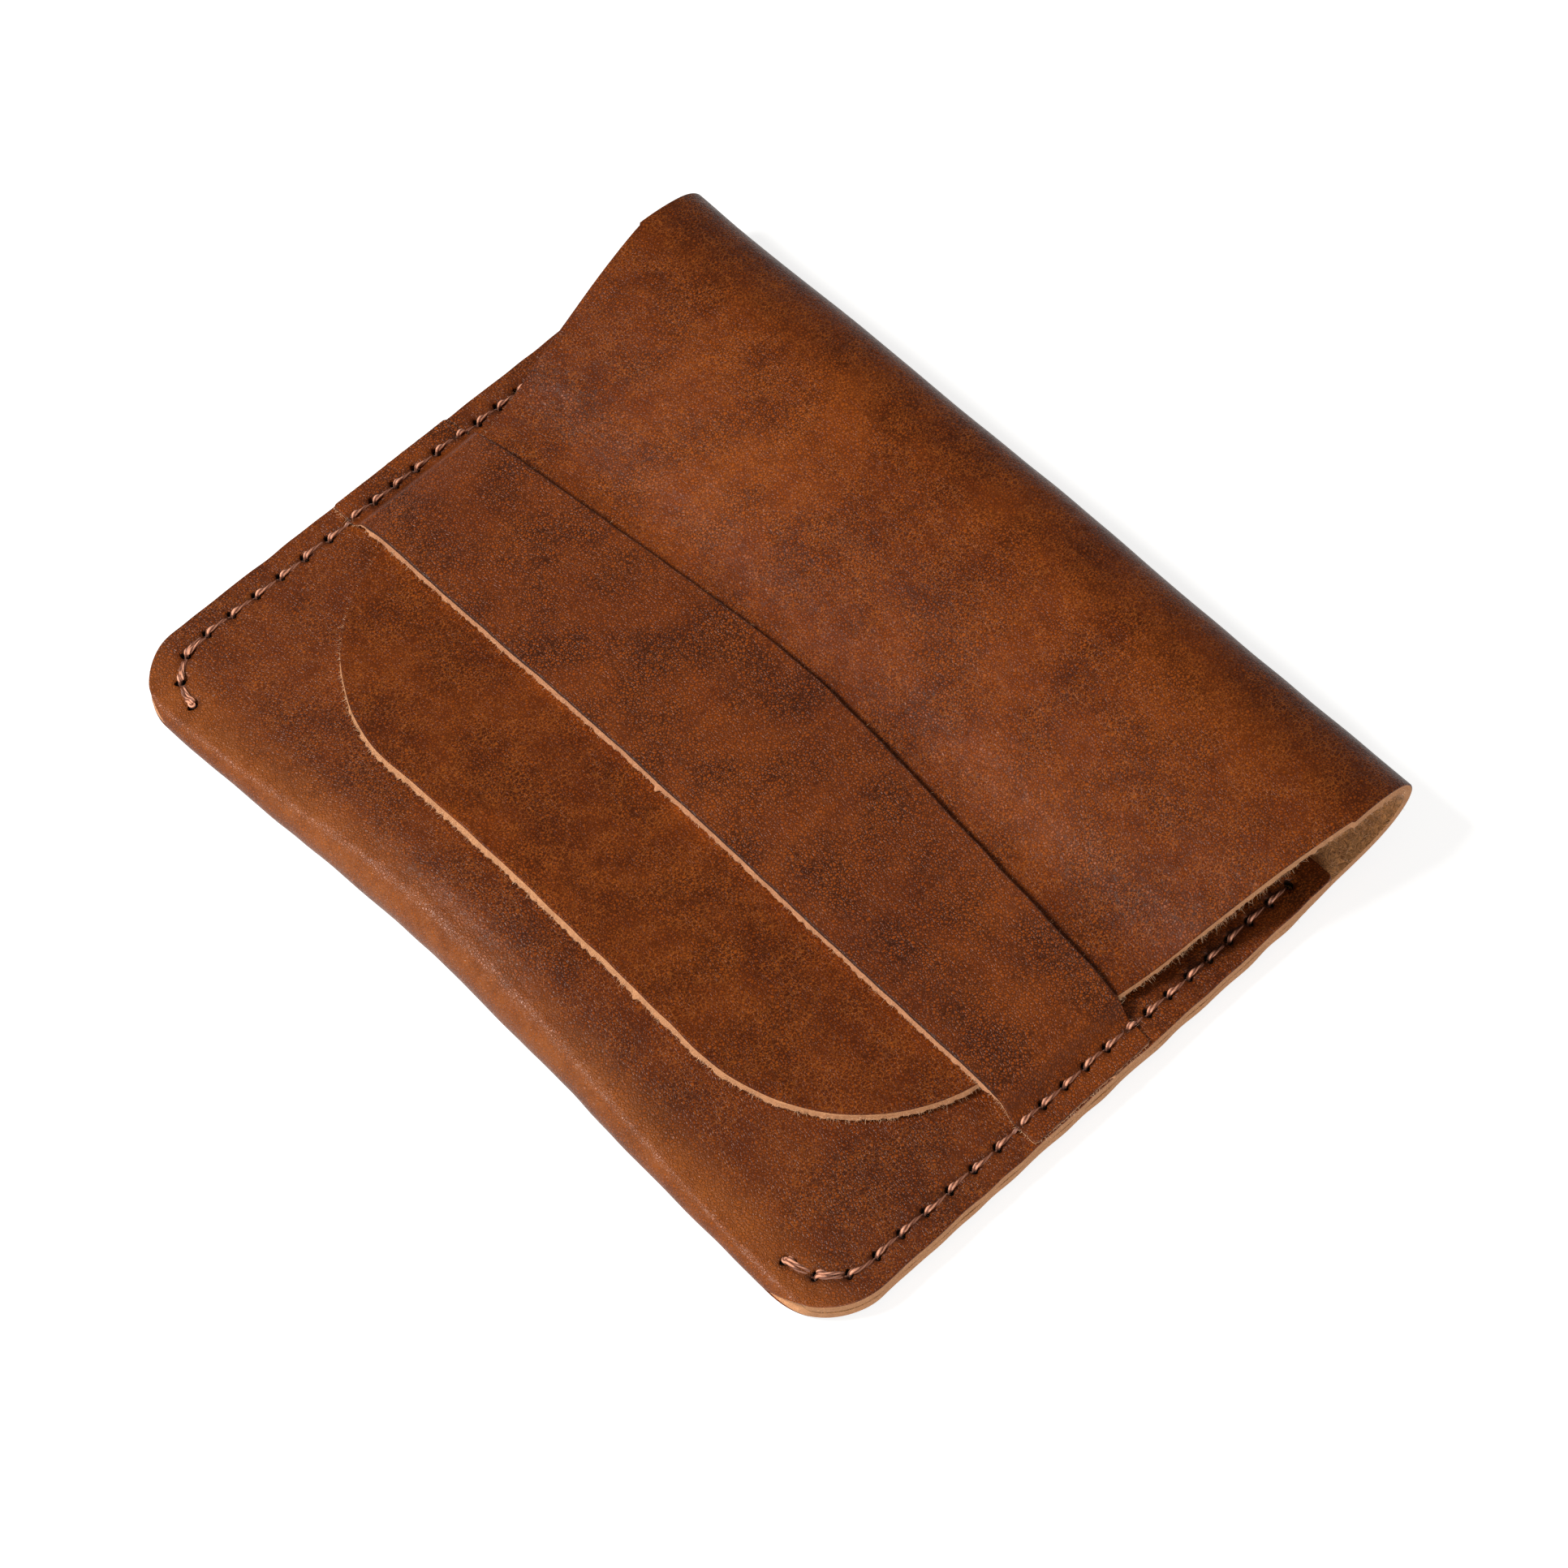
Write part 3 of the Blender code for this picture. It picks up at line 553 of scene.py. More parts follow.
def join_row(v):
    """Positions across the hide where two of its pieces meet, from left to right."""
    half = float(hide_half_width(np.array([v]))[0])
    middle = steps_between(-half + 0.9, half - 0.9, GRID)
    rings = half - np.array(RIM_RINGS)
    return np.concatenate([-rings, middle, rings[::-1]])


def chain_normals(chain, closed=False):
    """Unit vectors that point out of a chain drawn with the sheet on its left."""
    if closed:
        ahead = np.roll(chain, -1, axis=0) - np.roll(chain, 1, axis=0)
    else:
        ahead = np.gradient(chain, axis=0)
    return unit(np.stack([ahead[:, 1], -ahead[:, 0]], axis=1))


class Outline:
    """The outline of a flat sheet: raw cut chains and the joins between pieces of the hide."""

    def __init__(self):
        self.points = []
        self.normals = []
        self.raw = []

    def cut(self, chain, closed=False):
        self.points.append(chain)
        self.normals.append(chain_normals(chain, closed))
        self.raw.append(np.full(len(chain), True))

    def join(self, v, rightward):
        x = join_row(v) if rightward else join_row(v)[::-1]
        self.points.append(np.stack([x, 0.0 * x + v], axis=1))
        self.normals.append(np.zeros((len(x), 2)))
        self.raw.append(np.full(len(x), False))

    def whole(self):
        return (
            np.concatenate(self.points),
            np.concatenate(self.normals),
            np.concatenate(self.raw),
        )


def v_at_bend(place):
    """v of a place on the flap fold's grain side."""
    at = np.linspace(KNOTS[TAIL_KNOT], KNOTS[-1], 8000)
    gap = np.hypot(*(LOOP_SPLINE(at) - place).T)
    return V_LOOP + float(at[np.argmin(gap)]) - KNOTS[TAIL_KNOT]


JOIN_LOWER = v_at_bend(BEND_POINTS[1])
JOIN_UPPER = v_at_bend(BEND_POINTS[2])


def pocket_outline():
    outline = Outline()
    left = side_points(MOUTH_CORNER + EDGE_STEP, JOIN_LOWER, -1)[::-1]
    right = side_points(MOUTH_CORNER + EDGE_STEP, JOIN_LOWER, 1)
    inset = HALF_WIDTH - MOUTH_CORNER
    middle = steps_between(-inset, inset, EDGE_STEP)[1:-1]
    mouth = np.stack([middle, 0.03 * waves(middle, 0.0 * middle, 41, 5.0)], axis=1)
    outline.cut(
        np.concatenate([left, mouth_corner(-1), mouth, mouth_corner(1)[::-1], right])
    )
    outline.join(JOIN_LOWER, rightward=False)
    return outline.whole()


def turn_outline():
    outline = Outline()
    outline.cut(side_points(JOIN_LOWER, JOIN_UPPER, 1))
    outline.join(JOIN_UPPER, rightward=False)
    outline.cut(side_points(JOIN_LOWER, JOIN_UPPER, -1)[::-1])
    outline.join(JOIN_LOWER, rightward=True)
    return outline.whole()


def flap_outline():
    outline = Outline()
    end = flap_end()
    last = end[0, 1] - EDGE_STEP
    right = side_points(JOIN_UPPER, last, 1)
    left = side_points(JOIN_UPPER, last, -1)[::-1]
    outline.cut(np.concatenate([right, end, left]))
    outline.join(JOIN_UPPER, rightward=True)
    return outline.whole()


def strap_outline():
    inset = HALF_WIDTH - 0.35
    across = steps_between(-inset, inset, EDGE_STEP)
    upper = np.stack([across, -strap_upper(across)], axis=1)
    upper[:, 1] += 0.03 * waves(across, 0.0 * across, 43, 5.0)
    lower = np.stack([across[::-1], 0.0 * across - STRAP_LOWER_Y], axis=1)
    lower[:, 1] += 0.04 * waves(across, 0.0 * across, 44, 5.0)
    end_v = steps_between(-STRAP_UPPER_Y + 0.35, -STRAP_LOWER_Y - 0.35, EDGE_STEP)
    right = np.stack([0.0 * end_v + HALF_WIDTH - 0.15, end_v], axis=1)
    left = right[::-1] * (-1.0, 1.0)
    outline = Outline()
    outline.cut(np.concatenate([upper, right, lower, left]), closed=True)
    return outline.whole()


# ---------------------------------------------------------------- sheets with holes and cut edges
def distance_to_cut(points, loop, raw):
    """Distance from flat points to the raw cut outline."""
    nexts = np.roll(np.arange(len(loop)), -1)
    used = raw & raw[nexts]
    start = loop[used]
    step = loop[nexts][used] - start
    length = np.sum(step**2, axis=1)
    result = np.empty(len(points))
    for first in range(0, len(points), 2000):
        block = points[first : first + 2000]
        gap = block[:, None, :] - start[None, :, :]
        share = np.clip(np.sum(gap * step, axis=2) / length, 0.0, 1.0)
        gap -= share[:, :, None] * step
        result[first : first + 2000] = np.sqrt(np.sum(gap**2, axis=2).min(axis=1))
    return result


def grid_points(start, end, step_x, step_v, from_x, to_x):
    """A regular grid between two v, on both sides of the middle."""
    rows = steps_between(start, end, step_v)
    across = steps_between(from_x, to_x, step_x)
    if from_x > 0.0:
        across = np.concatenate([-across[::-1], across])
    return np.stack(np.meshgrid(across, rows), axis=-1).reshape(-1, 2)


def hide_grid(start, end):
    """Inner points of a piece of the hide between two v."""
    parts = []
    for low, high, step in (
        (0.0, V_TURN - 3.0, GRID),
        (V_TURN - 3.0 + BEND_GRID, V_BACK + 3.0, BEND_GRID),
        (V_BACK + 3.0 + GRID, V_LOOP - 2.0, GRID),
        (V_LOOP - 2.0 + BEND_GRID, V_FLAP + 3.0, BEND_GRID),
        (V_FLAP + 3.0 + GRID, V_END, GRID),
    ):
        low = max(low, start + JOIN_ROW + 0.2)
        high = min(high, end - JOIN_ROW - 0.2)
        if high <= low:
            continue
        parts.append(grid_points(low, high, GRID, step, -MARGIN_GRID_X, MARGIN_GRID_X))
        fine = min(step, MARGIN_GRID)
        edge = MARGIN_GRID_X + MARGIN_GRID
        parts.append(grid_points(low, high, MARGIN_GRID, fine, edge, HALF_WIDTH))
    for v, inward in ((start, JOIN_ROW), (end, -JOIN_ROW)):
        if v in (JOIN_LOWER, JOIN_UPPER):
            x = join_row(v)
            parts.append(np.stack([x, 0.0 * x + v + inward], axis=1))
    return np.concatenate(parts)


def edge_rounding(gap, radius):
    inside = np.clip(radius - gap, 0.0, radius)
    return radius - np.sqrt(radius**2 - inside**2)


def triangulate(points, loop_size, hole_size, hole_count):
    """Triangles over the sheet, as indices into points, without those inside the holes."""
    edges = [(i, (i + 1) % loop_size) for i in range(loop_size)]
    for h in range(hole_count):
        first = loop_size + h * hole_size
        edges += [(first + k, first + (k + 1) % hole_size) for k in range(hole_size)]
    made = geometry.delaunay_2d_cdt(
        [Vector(p) for p in points.tolist()], edges, [list(range(loop_size))], 1, 1e-5
    )
    source = np.array([ids[0] for ids in made[3]])
    triangles = source[np.array(made[2])]
    group = np.full(len(points), -1)
    for h in range(hole_count):
        first = loop_size + h * hole_size
        group[first : first + hole_size] = h
    corner = group[triangles]
    filled = (corner[:, 0] >= 0) & (corner[:, 0] == corner[:, 1]) & (corner[:, 1] == corner[:, 2])
    return triangles[~filled]


def without_strays(points, triangles, fixed):
    """The first fixed points and those that triangles use, with the triangles renumbered."""
    used = np.zeros(len(points), bool)
    used[:fixed] = True
    used[triangles] = True
    number = np.cumsum(used) - 1
    return points[used], number[triangles]


def clockwise(outline):
    x, y = outline.T
    area = np.sum(x * np.roll(y, -1) - y * np.roll(x, -1))
    return outline[::-1] if area > 0 else outline


def wall_quads(rings):
    """Quads between rings of vertex indices that run round with the sheet on their left."""
    quads = []
    for upper, lower in zip(rings, rings[1:]):
        ahead_upper = np.roll(upper, -1)
        ahead_lower = np.roll(lower, -1)
        quads.append(np.stack([upper, ahead_upper, ahead_lower, lower], axis=1))
    return np.concatenate(quads)


def row_frame(points):
    return (points - (0.0, Y_ORIGIN, 0.0)) * MM


def attribute(mesh, name, kind, values):
    made = mesh.attributes.new(name, kind, "POINT")
    field = "vector" if kind == "FLOAT_VECTOR" else "value"
    made.data.foreach_set(field, np.ascontiguousarray(values, np.float32).ravel())


def new_object(name, points, faces, materials, extra, slots=None):
    """A smooth mesh whose points, in millimetres, stay on it as the attribute place."""
    mesh = bpy.data.meshes.new(name)
    mesh.from_pydata(row_frame(points).tolist(), [], faces)
    for made_of in materials:
        mesh.materials.append(made_of)
    if slots is not None:
        mesh.polygons.foreach_set("material_index", np.asarray(slots, np.int32))
    mesh.shade_smooth()
    attribute(mesh, "place", "FLOAT_VECTOR", points)
    for label, values in extra.items():
        attribute(mesh, label, "FLOAT", values)
    obj = bpy.data.objects.new(name, mesh)
    bpy.context.scene.collection.objects.link(obj)
    return obj


class MeshParts:
    """Points and faces of a sheet, gathered part by part."""

    def __init__(self):
        self.points = []
        self.depth = []
        self.rim = []
        self.faces = []
        self.slots = []

    def add_points(self, points, depth, rim):
        """Adds points and returns their indices."""
        first = sum(len(part) for part in self.points)
        self.points.append(points)
        self.depth.append(depth)
        self.rim.append(rim)
        return first + np.arange(len(points))

    def add_faces(self, faces, slot):
        self.faces += faces.tolist()
        self.slots += [slot] * len(faces)


def inner_points(candidates, loop, raw, hole_rings):
    """Those grid points that stay clear of the cut edges and the awl holes."""
    keep = distance_to_cut(candidates, loop, raw) > RIM_RINGS[-1] + RIM_CLEARANCE
    for v in np.unique(loop[~raw][:, 1]):
        keep |= np.abs(candidates[:, 1] - v) < JOIN_ROW * 1.5
    if hole_rings:
        centres = np.array([ring.mean(axis=0) for ring in hole_rings])
        keep &= nearest(candidates, centres) > HOLE_LONG + HOLE_CLEARANCE
    return candidates[keep & (np.abs(candidates[:, 0]) < HALF_WIDTH)]


def edge_tufts(loop, normals, tufted, bevel):
    """How far the flesh rim stands out past the grain: the bevel of the cut and its tufts."""
    ragged = waves(loop[:, 0], loop[:, 1], 61, 0.7) + 0.6 * waves(loop[:, 0], loop[:, 1], 62, 2.5)
    off_seam = 1.0 - smoothstep(np.abs(loop[:, 0]), SEAM_X - 4.5, SEAM_X - 2.5)
    spread = bevel * (1.0 + 0.3 * ragged) * off_seam * np.clip(normals[:, 1], 0.0, 1.0)
    tufts = np.clip(ragged, -1.0, 1.0) + 5.0 * np.clip(ragged - 1.7, 0.0, 1.0)
    return spread + RAGGED * tufts * (bevel > 0.0) * tufted


def wall_roughness(loop, row):
    """How far one row of points on the raw cut stands out."""
    round_edge = np.sum(np.abs(loop), axis=1)
    rough = waves(round_edge, 0.0 * round_edge + row, 50 + row, 1.6)
    return 0.5 * WALL_ROUGHNESS * (rough + waves(loop[:, 1], loop[:, 0], 60, 3.0))


def build_sheet(name, outline, holes, candidates, sides, materials, stretch_and_light, bevel):
    """A sheet of leather, with its material slots: grain, raw cut edge, flesh and awl holes."""
    loop, normals, raw = outline
    grain, flesh = sides
    hole_rings = [clockwise(ring) for ring, _ in holes]
    hole_size = len(hole_rings[0]) if holes else 0
    chain_end = raw & (np.roll(~raw, 1) | np.roll(~raw, -1))
    ringed = raw & ~chain_end
    rims = [rim for _, rim in holes]
    rims += [loop[ringed] - offset * normals[ringed] for offset in RIM_RINGS]
    inner = inner_points(candidates, loop, raw, hole_rings)
    flat = np.concatenate([loop, *hole_rings, *rims, inner])
    holes_end = len(loop) + len(holes) * hole_size
    triangles = triangulate(flat, len(loop), hole_size, len(holes))
    flat, triangles = without_strays(flat, triangles, holes_end)

    gap = distance_to_cut(flat, loop, raw)
    top, under = grain(*flat.T), flesh(*flat.T)
    thickness = np.linalg.norm(top - under, axis=1)
    down = (under - top) / thickness[:, None]
    sunk = edge_rounding(gap, np.minimum(EDGE_ROUND, 0.35 * thickness))
    sunk[len(loop) : holes_end] += HOLE_SUNK
    raised = edge_rounding(gap, FLESH_ROUND)
    upper = top + sunk[:, None] * down
    lower = under - raised[:, None] * down
    across, along, _ = directions(grain, *loop.T)
    outward = normals[:, :1] * across + normals[:, 1:] * along
    lower[: len(loop)] += edge_tufts(loop, normals, ringed, bevel)[:, None] * outward

    parts = MeshParts()
    on_grain = parts.add_points(upper, sunk, gap)
    on_flesh = parts.add_points(lower, thickness - raised, gap)
    parts.add_faces(triangles[:, ::-1], GRAIN_SLOT)
    parts.add_faces(triangles + len(flat), FLESH_SLOT)
    edge = np.arange(len(loop))
    rings = [on_grain[edge]]
    for row, share in enumerate(WALL_SHARES):
        wall = upper[edge] + share * (lower[edge] - upper[edge])
        wall += wall_roughness(loop, row)[:, None] * outward
        depth = sunk[edge] + share * (thickness - raised - sunk)[edge]
        rings.append(parts.add_points(wall, depth, 0.0 * depth))
    rings.append(on_flesh[edge])
    parts.add_faces(wall_quads(rings), CUT_SLOT)
    for h in range(len(holes)):
        ring = len(loop) + h * hole_size + np.arange(hole_size)
        middle = 0.5 * (upper[ring] + lower[ring])
        middle = parts.add_points(middle, 0.5 * thickness[ring], np.ones(hole_size))
        parts.add_faces(wall_quads([on_grain[ring], middle, on_flesh[ring]]), HOLE_SLOT)

    points = np.concatenate(parts.points)
    extra = {
        "depth": np.concatenate(parts.depth),
        "rim": np.clip(np.concatenate(parts.rim), 0.0, 4.0),
        "stretch_and_light": stretch_and_light(points),
        "seam": seam_shade(points),
        "darkening_and_fold_shade": darkening_and_fold_shade(points),
    }
    obj = new_object(name, points, parts.faces, materials, extra, parts.slots)
    if not raw.all():
        sharpen_joins(obj.data, chain_end | ~raw, len(flat))
    return obj


def darkening_and_fold_shade(points):
    """Where the leather is painted darker: the pocket front and the flap's ends, and painted shade over
    the flap fold.
    """
    x, y, z = points.T
    front = smoothstep(y, 2.0, 7.0) * (1.0 - smoothstep(y, 66.0, 72.0)) * (z < 7.3) * (y < 29.0)
    # Painted shade over the flap fold, which turns away from the key light.
    fold = smoothstep(y, 72.0, 82.5)
    ends = smoothstep(np.abs(x + 2.0), 16.0, 48.0) * smoothstep(y, 44.0, 50.0)
    return np.clip(0.5 * front + 0.75 * fold + 0.42 * ends, 0.0, 1.0)


def sharpen_joins(mesh, at_join, flesh_first):
    """Keeps the shading of the grain and flesh sides apart from the faces inside a join."""
    ends = np.zeros(len(mesh.edges) * 2, np.int32)
    mesh.edges.foreach_get("vertices", ends)
    joined = np.zeros(len(mesh.vertices), bool)
    for first in (0, flesh_first):
        joined[first : first + len(at_join)] = at_join
    sharp = mesh.attributes.new("sharp_edge", "BOOLEAN", "EDGE")
    sharp.data.foreach_set("value", joined[ends[0::2]] & joined[ends[1::2]])


def seam_holes(v_of, low_y, high_y):
    """Outlines and rims of the awl holes on both seams, drawn flat."""
    holes = []
    for side in (-1.0, 1.0):
        for index in range(len(HOLES)):
            if not low_y < HOLES[index][1] < high_y:
                continue
            drawn = []
            for grow in (0.0, HOLE_RIM):
                outline = hole_outline(index, side, grow)
                drawn.append(np.stack([outline[:, 0], v_of(*outline.T)], axis=1))
            holes.append(drawn)
    return holes


# ---------------------------------------------------------------- fibres
def build_fibres(name, roots, heading, bend, length, radius, made_of):
    """Tapering curved hairs, each one closed mesh."""
    rows = 4
    count = len(roots)
    heading = unit(heading)
    side = unit(np.cross(heading, unit(bend + 0.001 * heading[:, ::-1])))
    points = []
    for k in range(rows):
        t = k / (rows - 0.4)
        centre = roots + (t * length)[:, None] * heading
        centre = centre + (t * t * length * 0.5)[:, None] * bend
        forward = unit(heading + t * bend)
        a = unit(np.cross(forward, side))
        b = np.cross(forward, a)
        for n in range(3):
            turn = 2.0 * math.pi * n / 3
            ring = (radius * (1.0 - 0.75 * t))[:, None] * (math.cos(turn) * a + math.sin(turn) * b)
            points.append(centre + ring)
    points.append(roots + length[:, None] * heading + (0.5 * length)[:, None] * bend)
    size = rows * 3 + 1
    points = np.stack(points, axis=1).reshape(-1, 3)
    template = [(0, 1, 2)]
    for k in range(rows - 1):
        for n in range(3):
            a, b = 3 * k + n, 3 * k + (n + 1) % 3
            template.append((a, a + 3, b + 3))
            template.append((a, b + 3, b))
    for n in range(3):
        a, b = 3 * (rows - 1) + n, 3 * (rows - 1) + (n + 1) % 3
        template.append((a, size - 1, b))
    template = np.array(template)
    faces = (template[None] + size * np.arange(count)[:, None, None]).reshape(-1, 3)
    return new_object(name, points, faces.tolist(), [made_of], {})


def edge_fibres(outline, sides, per_mm, length, random):
    """Roots, directions, bends and lengths of hairs along the raw cut edges."""
    loop, normals, raw = outline
    grain, flesh = sides
    use = np.flatnonzero(raw & np.roll(raw, -1))
    number = int(len(use) * EDGE_STEP * per_mm)
    pick = random.choice(use, number)
    share = random.random(number)[:, None]
    flat = loop[pick] + share * (loop[(pick + 1) % len(loop)] - loop[pick])
    out = normals[pick]
    x, v = flat.T
    top = grain(x, v)
    under = flesh(x, v)
    across, along, up = directions(grain, x, v)
    outward = out[:, :1] * across + out[:, 1:] * along
    depth = random.uniform(0.35, 1.0, number)[:, None]
    roots = top + depth * (under - top) - 0.04 * outward
    scatter = random.normal(0.0, 0.55, (number, 3))
    heading = outward + scatter - 0.35 * up
    bend = random.normal(0.0, 0.5, (number, 3)) - 0.25 * up
    size = length * random.uniform(0.35, 1.0, number) ** 1.6
    return roots, heading, bend, size


def flesh_fibres(start, end, number, length, random):
    """The same for matted hairs on the flesh side near both ends of the flap fold."""
    side = random.choice((-1.0, 1.0), number)
    reach = MATTED_X[1] - (MATTED_X[1] - MATTED_X[0]) * random.random(number) ** 1.3
    v = random.uniform(start, end, number)
    reach = np.minimum(reach, hide_half_width(v) - 0.15)
    x = side * reach
    across, along, up = directions(hide_base, x, v)
    roots = hide_flesh(x, v) + 0.02 * up
    turn = waves(x, v, 71, 4.0) * 1.6 + random.normal(0.0, 0.7, number)
    flow = np.cos(turn)[:, None] * along + np.sin(turn)[:, None] * across
    heading = flow - random.uniform(0.1, 0.5, number)[:, None] * up
    bend = random.normal(0.0, 0.5, (number, 3)) + 0.25 * up
    return roots, heading, bend, length * random.uniform(0.4, 1.0, number)


# ---------------------------------------------------------------- threads
def seam_top(x, y):
    """Height of the leather under the stitches on the front."""
    bare = front_z(x, y) + stack_relief(x, y)
    on_strap = strap_grain(x, -np.clip(y, STRAP_LOWER_Y, STRAP_UPPER_Y))[:, 2]
    cover = smoothstep(y, STRAP_LOWER_Y - 0.5, STRAP_LOWER_Y - 0.1)
    cover = cover * (1.0 - smoothstep(y, STRAP_UPPER_Y + 0.1, STRAP_UPPER_Y + 0.5))
    return bare + cover * (on_strap - bare)


def seam_bottom(x, y):
    """Height of the leather over the stitches on the back."""
    return back_z(x, y) + seam_dent(x, y) + 0.05


def thread_surface(x, y, on_top):
    x = np.array([x])
    y = np.array([y])
    return float((seam_top(x, y) if on_top else seam_bottom(x, y))[0])


# Height of the thread's middle over the leather along one stitch, from the tail to the knuckle,
# as (distance from the tail hole, height, thickness), where a negative distance counts back
# from the other end
STITCH = (
    (0.3, -0.62, 0.9), (0.62, -0.38, 0.85), (1.05, -0.24, 0.8), (-1.7, -0.2, 0.8),
    (-1.2, -0.14, 0.86), (-0.74, 0.03, 1.05), (-0.4, 0.17, 1.14), (-0.16, -0.16, 1.0),
)


def stitch_path(side, first, last, on_top, offset, random):
    """One stitch over the leather from the hole nearer the mouth to the next."""
    length = last - first
    path = []
    for distance, height, thickness in STITCH:
        if not on_top:
            height = height * 0.75
        along_it = first + (distance if distance > 0 else length + distance)
        place, along = seam_point(along_it)
        across = np.array([-along[1], along[0]])
        sway = offset + 0.07 * math.sin(math.pi * (along_it - first) / length) * random
        x, y = place + sway * across
        surface = thread_surface(side * x, y, on_top)
        lift = THREAD_RADIUS * 0.75 + height
        z = surface + lift if on_top else surface - lift
        path.append((side * x, float(skewed(side * x, y)), z, thickness))
    return path


def strand_path(side, offset, top_first, random):
    stations = hole_distances()
    path = []
    on_top = top_first
    for first, last in zip(stations, stations[1:]):
        path += stitch_path(side, first, last, on_top, offset, random.normal())
        on_top = not on_top
    return np.array(path)


def tube(path, radius):
    """A twisted cord along a path of (x, y, z, thickness): one closed mesh."""
    spline = Spline(path)
    at = steps_between(0.0, spline.knots[-1], THREAD_STEP)
    centre = spline(at)[:, :3]
    thickness = spline(at)[:, 3]
    tangent = unit(np.gradient(centre, axis=0))
    sides = []
    reference = np.array([1.0, 0.0, 0.0])
    for way in tangent:
        reference = reference - np.dot(reference, way) * way
        reference = reference / np.linalg.norm(reference)
        sides.append(reference)
    sides = np.array(sides)
    other = np.cross(tangent, sides)
    turn = np.linspace(0.0, 2.0 * np.pi, THREAD_SIDES, endpoint=False)
    twist = 2.0 * np.pi * at / THREAD_PITCH
    lobe = 1.0 + THREAD_GROOVE * np.cos(THREAD_LOBES * turn[None, :] + twist[:, None])
    end = smoothstep(np.minimum(at, at[-1] - at), -0.05, 0.25)
    size = radius * lobe * (thickness * end)[:, None]
    points = (
        centre[:, None, :]
        + size[:, :, None] * np.cos(turn)[None, :, None] * sides[:, None, :]
        + size[:, :, None] * np.sin(turn)[None, :, None] * other[:, None, :]
    ).reshape(-1, 3)
    faces = []
    for k in range(len(at) - 1):
        base = k * THREAD_SIDES
        for n in range(THREAD_SIDES):
            after = (n + 1) % THREAD_SIDES
            faces.append((base + n, base + after, base + THREAD_SIDES + after, base + THREAD_SIDES + n))
    faces.append(tuple(reversed(range(THREAD_SIDES))))
    last = (len(at) - 1) * THREAD_SIDES
    faces.append(tuple(last + n for n in range(THREAD_SIDES)))
    ply = np.broadcast_to(lobe, size.shape).reshape(-1)
    return points, faces, ply


def build_thread(name, side, doubled, made_of):
    """One sewn seam: two strands, with the last stitches sewn twice and knotted."""
    random = np.random.default_rng(SEED + side)
    stations = hole_distances()
    paths = [
        (strand_path(side, 0.02, True, random), THREAD_RADIUS),
        (strand_path(side, -0.02, False, random), THREAD_RADIUS),
    ]
    for k in range(doubled):
        first, last = stations[-2 - k], stations[-1 - k]
        extra = stitch_path(side, first, last, True, -0.3, random.normal())
        paths.append((np.array(extra) + (0.0, 0.0, 0.12, 0.0), THREAD_RADIUS * 0.9))
    place, _ = seam_point(stations[-1])
    knot = []
    for t in np.linspace(0.0, 2.2 * np.pi, 14):
        x = place[0] + 0.2 * math.cos(t) + 0.02 * t
        y = place[1] + 0.2 * math.sin(t)
        surface = thread_surface(side * x, y, True)
        knot.append((side * x, float(skewed(side * x, y)), surface + 0.12 + 0.04 * t, 1.0))
    paths.append((np.array(knot), THREAD_RADIUS * 0.9))
    points, faces, plies = [], [], []
    total = 0
    for path, radius in paths:
        made, around, ply = tube(path, radius)
        faces += [tuple(i + total for i in face) for face in around]
        points.append(made)
        plies.append(ply)
        total += len(made)
    points = np.concatenate(points)
    x, y, z = points.T
    # How far the thread stands out of the leather; the material paints shade where it sinks in.
    proud = np.maximum(z - seam_top(x, y), seam_bottom(x, y) - z)
    extra = {"ply": np.concatenate(plies), "proud": smoothstep(proud, 0.02, 0.38)}
    return new_object(name, points, faces, [made_of], extra)


